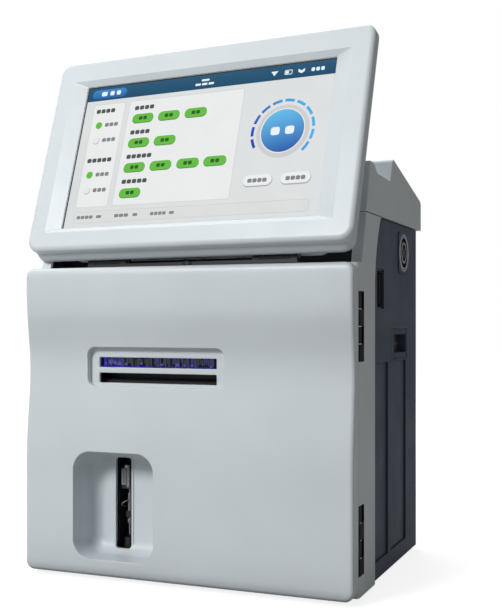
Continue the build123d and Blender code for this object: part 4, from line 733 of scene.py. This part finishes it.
# fittings of the sampling probe
PROBE_X = -71.6
PROBE_Y = -72
PROBE_FRONT = -77.5
FORWARD = (0, -1, 0)
fitting_grey = plastic("fitting_grey", linear(124, 124, 126), 0.42, specular=0.4)
bars("probe_body", [
    ((-76.6, PROBE_FRONT - 1.6, 80.5), (PROBE_X, PROBE_FRONT - 0.05, 95.5)),
    ((-75.6, PROBE_FRONT - 2.2, 83), (-74.2, PROBE_FRONT - 1.5, 94)),
    ((-73.4, PROBE_FRONT - 2.0, 82), (-72.6, PROBE_FRONT - 1.5, 92)),
    ((-71.5, PROBE_FRONT - 1.1, 78.4), (-68.4, PROBE_FRONT - 0.05, 99)),
], fitting_grey, "probe", 0.0003)
BIG_HEAD = ((0, 0), (1.5, 0), (1.5, 0.9), (1.1, 1.3), (0, 1.3))
SMALL_HEAD = ((0, 0), (0.9, 0), (0.9, 0.5), (0.6, 0.8), (0, 0.8))
turned("probe_screws", [
    ((-72.2, PROBE_FRONT - 0.05, 97.6), FORWARD, BIG_HEAD),
    ((-69.9, PROBE_FRONT - 1.15, 96.2), FORWARD, SMALL_HEAD),
    ((-69.9, PROBE_FRONT - 1.15, 81.4), FORWARD, SMALL_HEAD),
], steel, "probe", 20)
turned("needle_sleeve", [
    ((PROBE_X, PROBE_Y, 52.5), (0, 0, 1), ((0.9, 0), (1.5, 0), (1.6, 1), (1.6, 19), (1.3, 20), (0.9, 20))),
    ((PROBE_X, PROBE_Y, 44.5), (0, 0, 1), ((0.9, 0), (1.9, 0.4), (1.9, 2.6), (1.4, 4.2), (0.9, 4.2))),
], fitting_grey, "probe", 24)
hose("sample_line", [
    (PROBE_X, -73.4, 66), (-73.6, -76.6, 65.4), (-76.6, -77.4, 63.2),
    (-78.3, -75.5, 61), (-78.35, -71, 59.4), (-78.35, -66.5, 58.6),
], 0.6, grey_plastic, "probe")

# bright rims round the openings of the side vent
VENT = (154.5, 64.5, 298)
VENT_RIMS = (9, 15.3, 17.4)
turned("vent_rims", [
    (VENT, (1, 0, 0), [
        (radius - 0.5, -0.2), (radius + 0.5, -0.2), (radius + 0.4, 0.25), (radius - 0.4, 0.25),
    ])
    for radius in VENT_RIMS
], steel, "cabinet", 40)

# dark strips along the side panel's pull: a painted shadow at the step of its recess
PANEL = 153.5
bars("pull_shadow_strip", [
    ((PANEL - 0.05, 21.4, 191), (PANEL + 0.15, 23.7, 226.6)),
    ((PANEL - 0.05, 21.4, 225.6), (PANEL + 0.16, 80, 226.9)),
], black_plastic, "cabinet", 0.00005)
# the rib in the data socket well, and lighter bars at the well's top and bottom as painted highlights
well_rib_highlight_grey = plastic("well_rib_highlight_grey", linear(96, 88, 88), 0.45)
bars("well_rib_and_highlights", [
    ((149.4, -10.4, 247.5), (150.4, -9.15, 274.5)),
    ((148.2, -10.0, 245.2), (152.0, -9.15, 246.2)),
    ((148.2, -10.0, 275.6), (152.0, -9.15, 276.6)),
], well_rib_highlight_grey, "cabinet", 0.0001)

# metal shells of the rear data sockets, outside their used hollows:
# a frame on the panel and a sleeve behind it
SOCKET_HEIGHTS = (94, 122, 150)
HOLLOW = (-134.62, -124.38)
HOLLOW_HALF = 4.62
FRAME = (-137.2, -122.6)
FRAME_HALF = 6.4
SLEEVE_HALF = 4.96
shells = []
floors = []
for z in SOCKET_HEIGHTS:
    for low_x, high_x in ((FRAME[0], HOLLOW[0]), (HOLLOW[1], FRAME[1])):
        shells.append(((low_x, 119.2, z - FRAME_HALF), (high_x, 120.4, z + FRAME_HALF)))
    for low_z, high_z in ((z - FRAME_HALF, z - HOLLOW_HALF), (z + HOLLOW_HALF, z + FRAME_HALF)):
        shells.append(((FRAME[0], 119.21, low_z), (FRAME[1], 120.39, high_z)))
    for low_x, high_x in ((-134.96, HOLLOW[0]), (HOLLOW[1], -124.04)):
        shells.append(((low_x, 110.3, z - 4.9), (high_x, 119.9, z + 4.9)))
    for low_z, high_z in ((z - SLEEVE_HALF, z - HOLLOW_HALF), (z + HOLLOW_HALF, z + SLEEVE_HALF)):
        shells.append(((-134.9, 110.31, low_z), (-124.1, 119.89, high_z)))
    floors.append(((-134.9, 110.02, z - 4.9), (-124.1, 110.7, z + 4.9)))
bars("socket_shells", shells, steel, "cabinet", 0.00006)
bars("socket_floors", floors, black_plastic, "cabinet", 0.00006)

# cross slots of the case screws, drawn as black bars on the heads: painted shade for their hollows
SCREW_X = 145.5
SCREW_HEIGHTS = (34, 164, 304)
SCREW_FACE = 121.5
SLOT_LONG = 1.9
SLOT_WIDE = 0.35
SLOT_DEEP = 0.4
crosses = []
for x in (-SCREW_X, SCREW_X):
    for z in SCREW_HEIGHTS:
        crosses.append((
            (x - SLOT_LONG, SCREW_FACE - SLOT_DEEP, z - SLOT_WIDE),
            (x + SLOT_LONG, SCREW_FACE + 0.05, z + SLOT_WIDE),
        ))
        crosses.append((
            (x - SLOT_WIDE, SCREW_FACE - SLOT_DEEP, z - SLOT_LONG),
            (x + SLOT_WIDE, SCREW_FACE + 0.06, z + SLOT_LONG),
        ))
bars("screw_crosses", crosses, black_plastic, "cabinet", 0.00005)


# ------------------------------------------------------------------ stage, light, camera
MIRRORED = 0.22


def add(tree, kind, **settings):
    """A new shader node with the settings named."""
    made = tree.nodes.new(kind)
    for key, value in settings.items():
        setattr(made, key, value)
    return made


def seen(tree):
    """How much of the white background a ray meets: all of it straight on or through glass.

    A mirrored ray meets a share of it, small enough that the dark side stays as dark as in the photograph.
    """
    path = add(tree, "ShaderNodeLightPath")
    mirrored = add(tree, "ShaderNodeMath", operation="MULTIPLY")
    mirrored.inputs[1].default_value = MIRRORED
    tree.links.new(path.outputs["Is Glossy Ray"], mirrored.inputs[0])
    share = mirrored.outputs["Value"]
    for kind in ("Is Camera Ray", "Is Transmission Ray"):
        either = add(tree, "ShaderNodeMath", operation="MAXIMUM")
        tree.links.new(share, either.inputs[0])
        tree.links.new(path.outputs[kind], either.inputs[1])
        share = either.outputs["Value"]
    return share


# the floor's own grey, then the distance in metres and how bright it is seen, near the object and far from it
FLOOR_GREY = 0.3
FLOOR_NEAR = (0.35, 0.84)
FLOOR_FAR = (1.1, 1.0)
FLOOR_HALF = 6


def floor_white():
    """Diffuse for the light, plus a brightness that grows away from the object where it is seen."""
    mat = bpy.data.materials.new("floor_white")
    mat.use_nodes = True
    tree = mat.node_tree
    shader = tree.nodes["Principled BSDF"]
    shader.inputs["Base Color"].default_value = (FLOOR_GREY, FLOOR_GREY, FLOOR_GREY, 1)
    shader.inputs["Roughness"].default_value = 0.9
    shader.inputs["Specular IOR Level"].default_value = 0.0
    away = add(tree, "ShaderNodeVectorMath", operation="LENGTH")
    tree.links.new(add(tree, "ShaderNodeTexCoord").outputs["Object"], away.inputs[0])
    lift = add(tree, "ShaderNodeMapRange", interpolation_type="SMOOTHSTEP")
    lift.inputs["From Min"].default_value, lift.inputs["To Min"].default_value = FLOOR_NEAR
    lift.inputs["From Max"].default_value, lift.inputs["To Max"].default_value = FLOOR_FAR
    tree.links.new(away.outputs["Value"], lift.inputs["Value"])
    amount = add(tree, "ShaderNodeMath", operation="MULTIPLY")
    tree.links.new(seen(tree), amount.inputs[0])
    tree.links.new(lift.outputs["Result"], amount.inputs[1])
    emission = add(tree, "ShaderNodeEmission")
    emission.inputs["Color"].default_value = WHITE
    tree.links.new(amount.outputs["Value"], emission.inputs["Strength"])
    both = add(tree, "ShaderNodeAddShader")
    tree.links.new(shader.outputs["BSDF"], both.inputs[0])
    tree.links.new(emission.outputs["Emission"], both.inputs[1])
    tree.links.new(both.outputs["Shader"], tree.nodes["Material Output"].inputs["Surface"])
    return mat


floor_mesh = bpy.data.meshes.new("floor")
bm = bmesh.new()
bm.faces.new([
    bm.verts.new((side_x * FLOOR_HALF, side_y * FLOOR_HALF, 0))
    for side_x, side_y in ((-1, -1), (1, -1), (1, 1), (-1, 1))
])
bm.to_mesh(floor_mesh)
bm.free()
floor = bpy.data.objects.new("floor", floor_mesh)
bpy.context.collection.objects.link(floor)
floor_mesh.materials.append(floor_white())

world = bpy.data.worlds.new("studio")
bpy.context.scene.world = world
world.use_nodes = True
sky = world.node_tree
ambient = sky.nodes["Background"]
ambient.inputs["Color"].default_value = (1.0, 0.965, 0.91, 1)
ambient.inputs["Strength"].default_value = 0.155
white = add(sky, "ShaderNodeBackground")
white.inputs["Color"].default_value = WHITE
white.inputs["Strength"].default_value = 1.0
choose = add(sky, "ShaderNodeMixShader")
sky.links.new(seen(sky), choose.inputs["Fac"])
sky.links.new(ambient.outputs["Background"], choose.inputs[1])
sky.links.new(white.outputs["Background"], choose.inputs[2])
sky.links.new(choose.outputs["Shader"], sky.nodes["World Output"].inputs["Surface"])


def softbox(name, location, target, size, power):
    """A square soft light, in metres and watts, aimed at a point."""
    lamp = bpy.data.lights.new(name, "AREA")
    lamp.shape = "SQUARE"
    lamp.size = size
    lamp.energy = power
    obj = bpy.data.objects.new(name, lamp)
    bpy.context.collection.objects.link(obj)
    obj.location = location
    aim = Vector(target) - Vector(location)
    obj.rotation_euler = aim.to_track_quat("-Z", "Y").to_euler()


MIDDLE = (0, 0, 0.22)
softbox("key", (-0.45, -1.4, 1.02), (0, -0.1, 0.18), 0.4, 17.5)
softbox("front", (-0.6, -2.3, 1.1), MIDDLE, 1.2, 4)
softbox("top", (-0.45, 0.3, 2.1), (0, 0, 0.2), 1.4, 32)
softbox("right", (2.4, -0.2, 0.9), MIDDLE, 1.4, 2.5)
softbox("rear", (-0.9, 2.1, 1.5), MIDDLE, 1.4, 18)

# the camera as fitted to the photograph: 22 degrees to the right of the front
camera_data = bpy.data.cameras.new("camera")
camera = bpy.data.objects.new("camera", camera_data)
bpy.context.collection.objects.link(camera)
camera.location = (0.388, -0.9017, 0.2314)
camera.rotation_euler = (radians(90), 0, radians(22.17))
camera_data.sensor_width = 36
camera_data.sensor_fit = "AUTO"
camera_data.lens = 59.31
camera_data.shift_y = 0.02306
camera_data.dof.use_dof = False
bpy.context.scene.camera = camera
bpy.context.scene.view_settings.view_transform = "Standard"
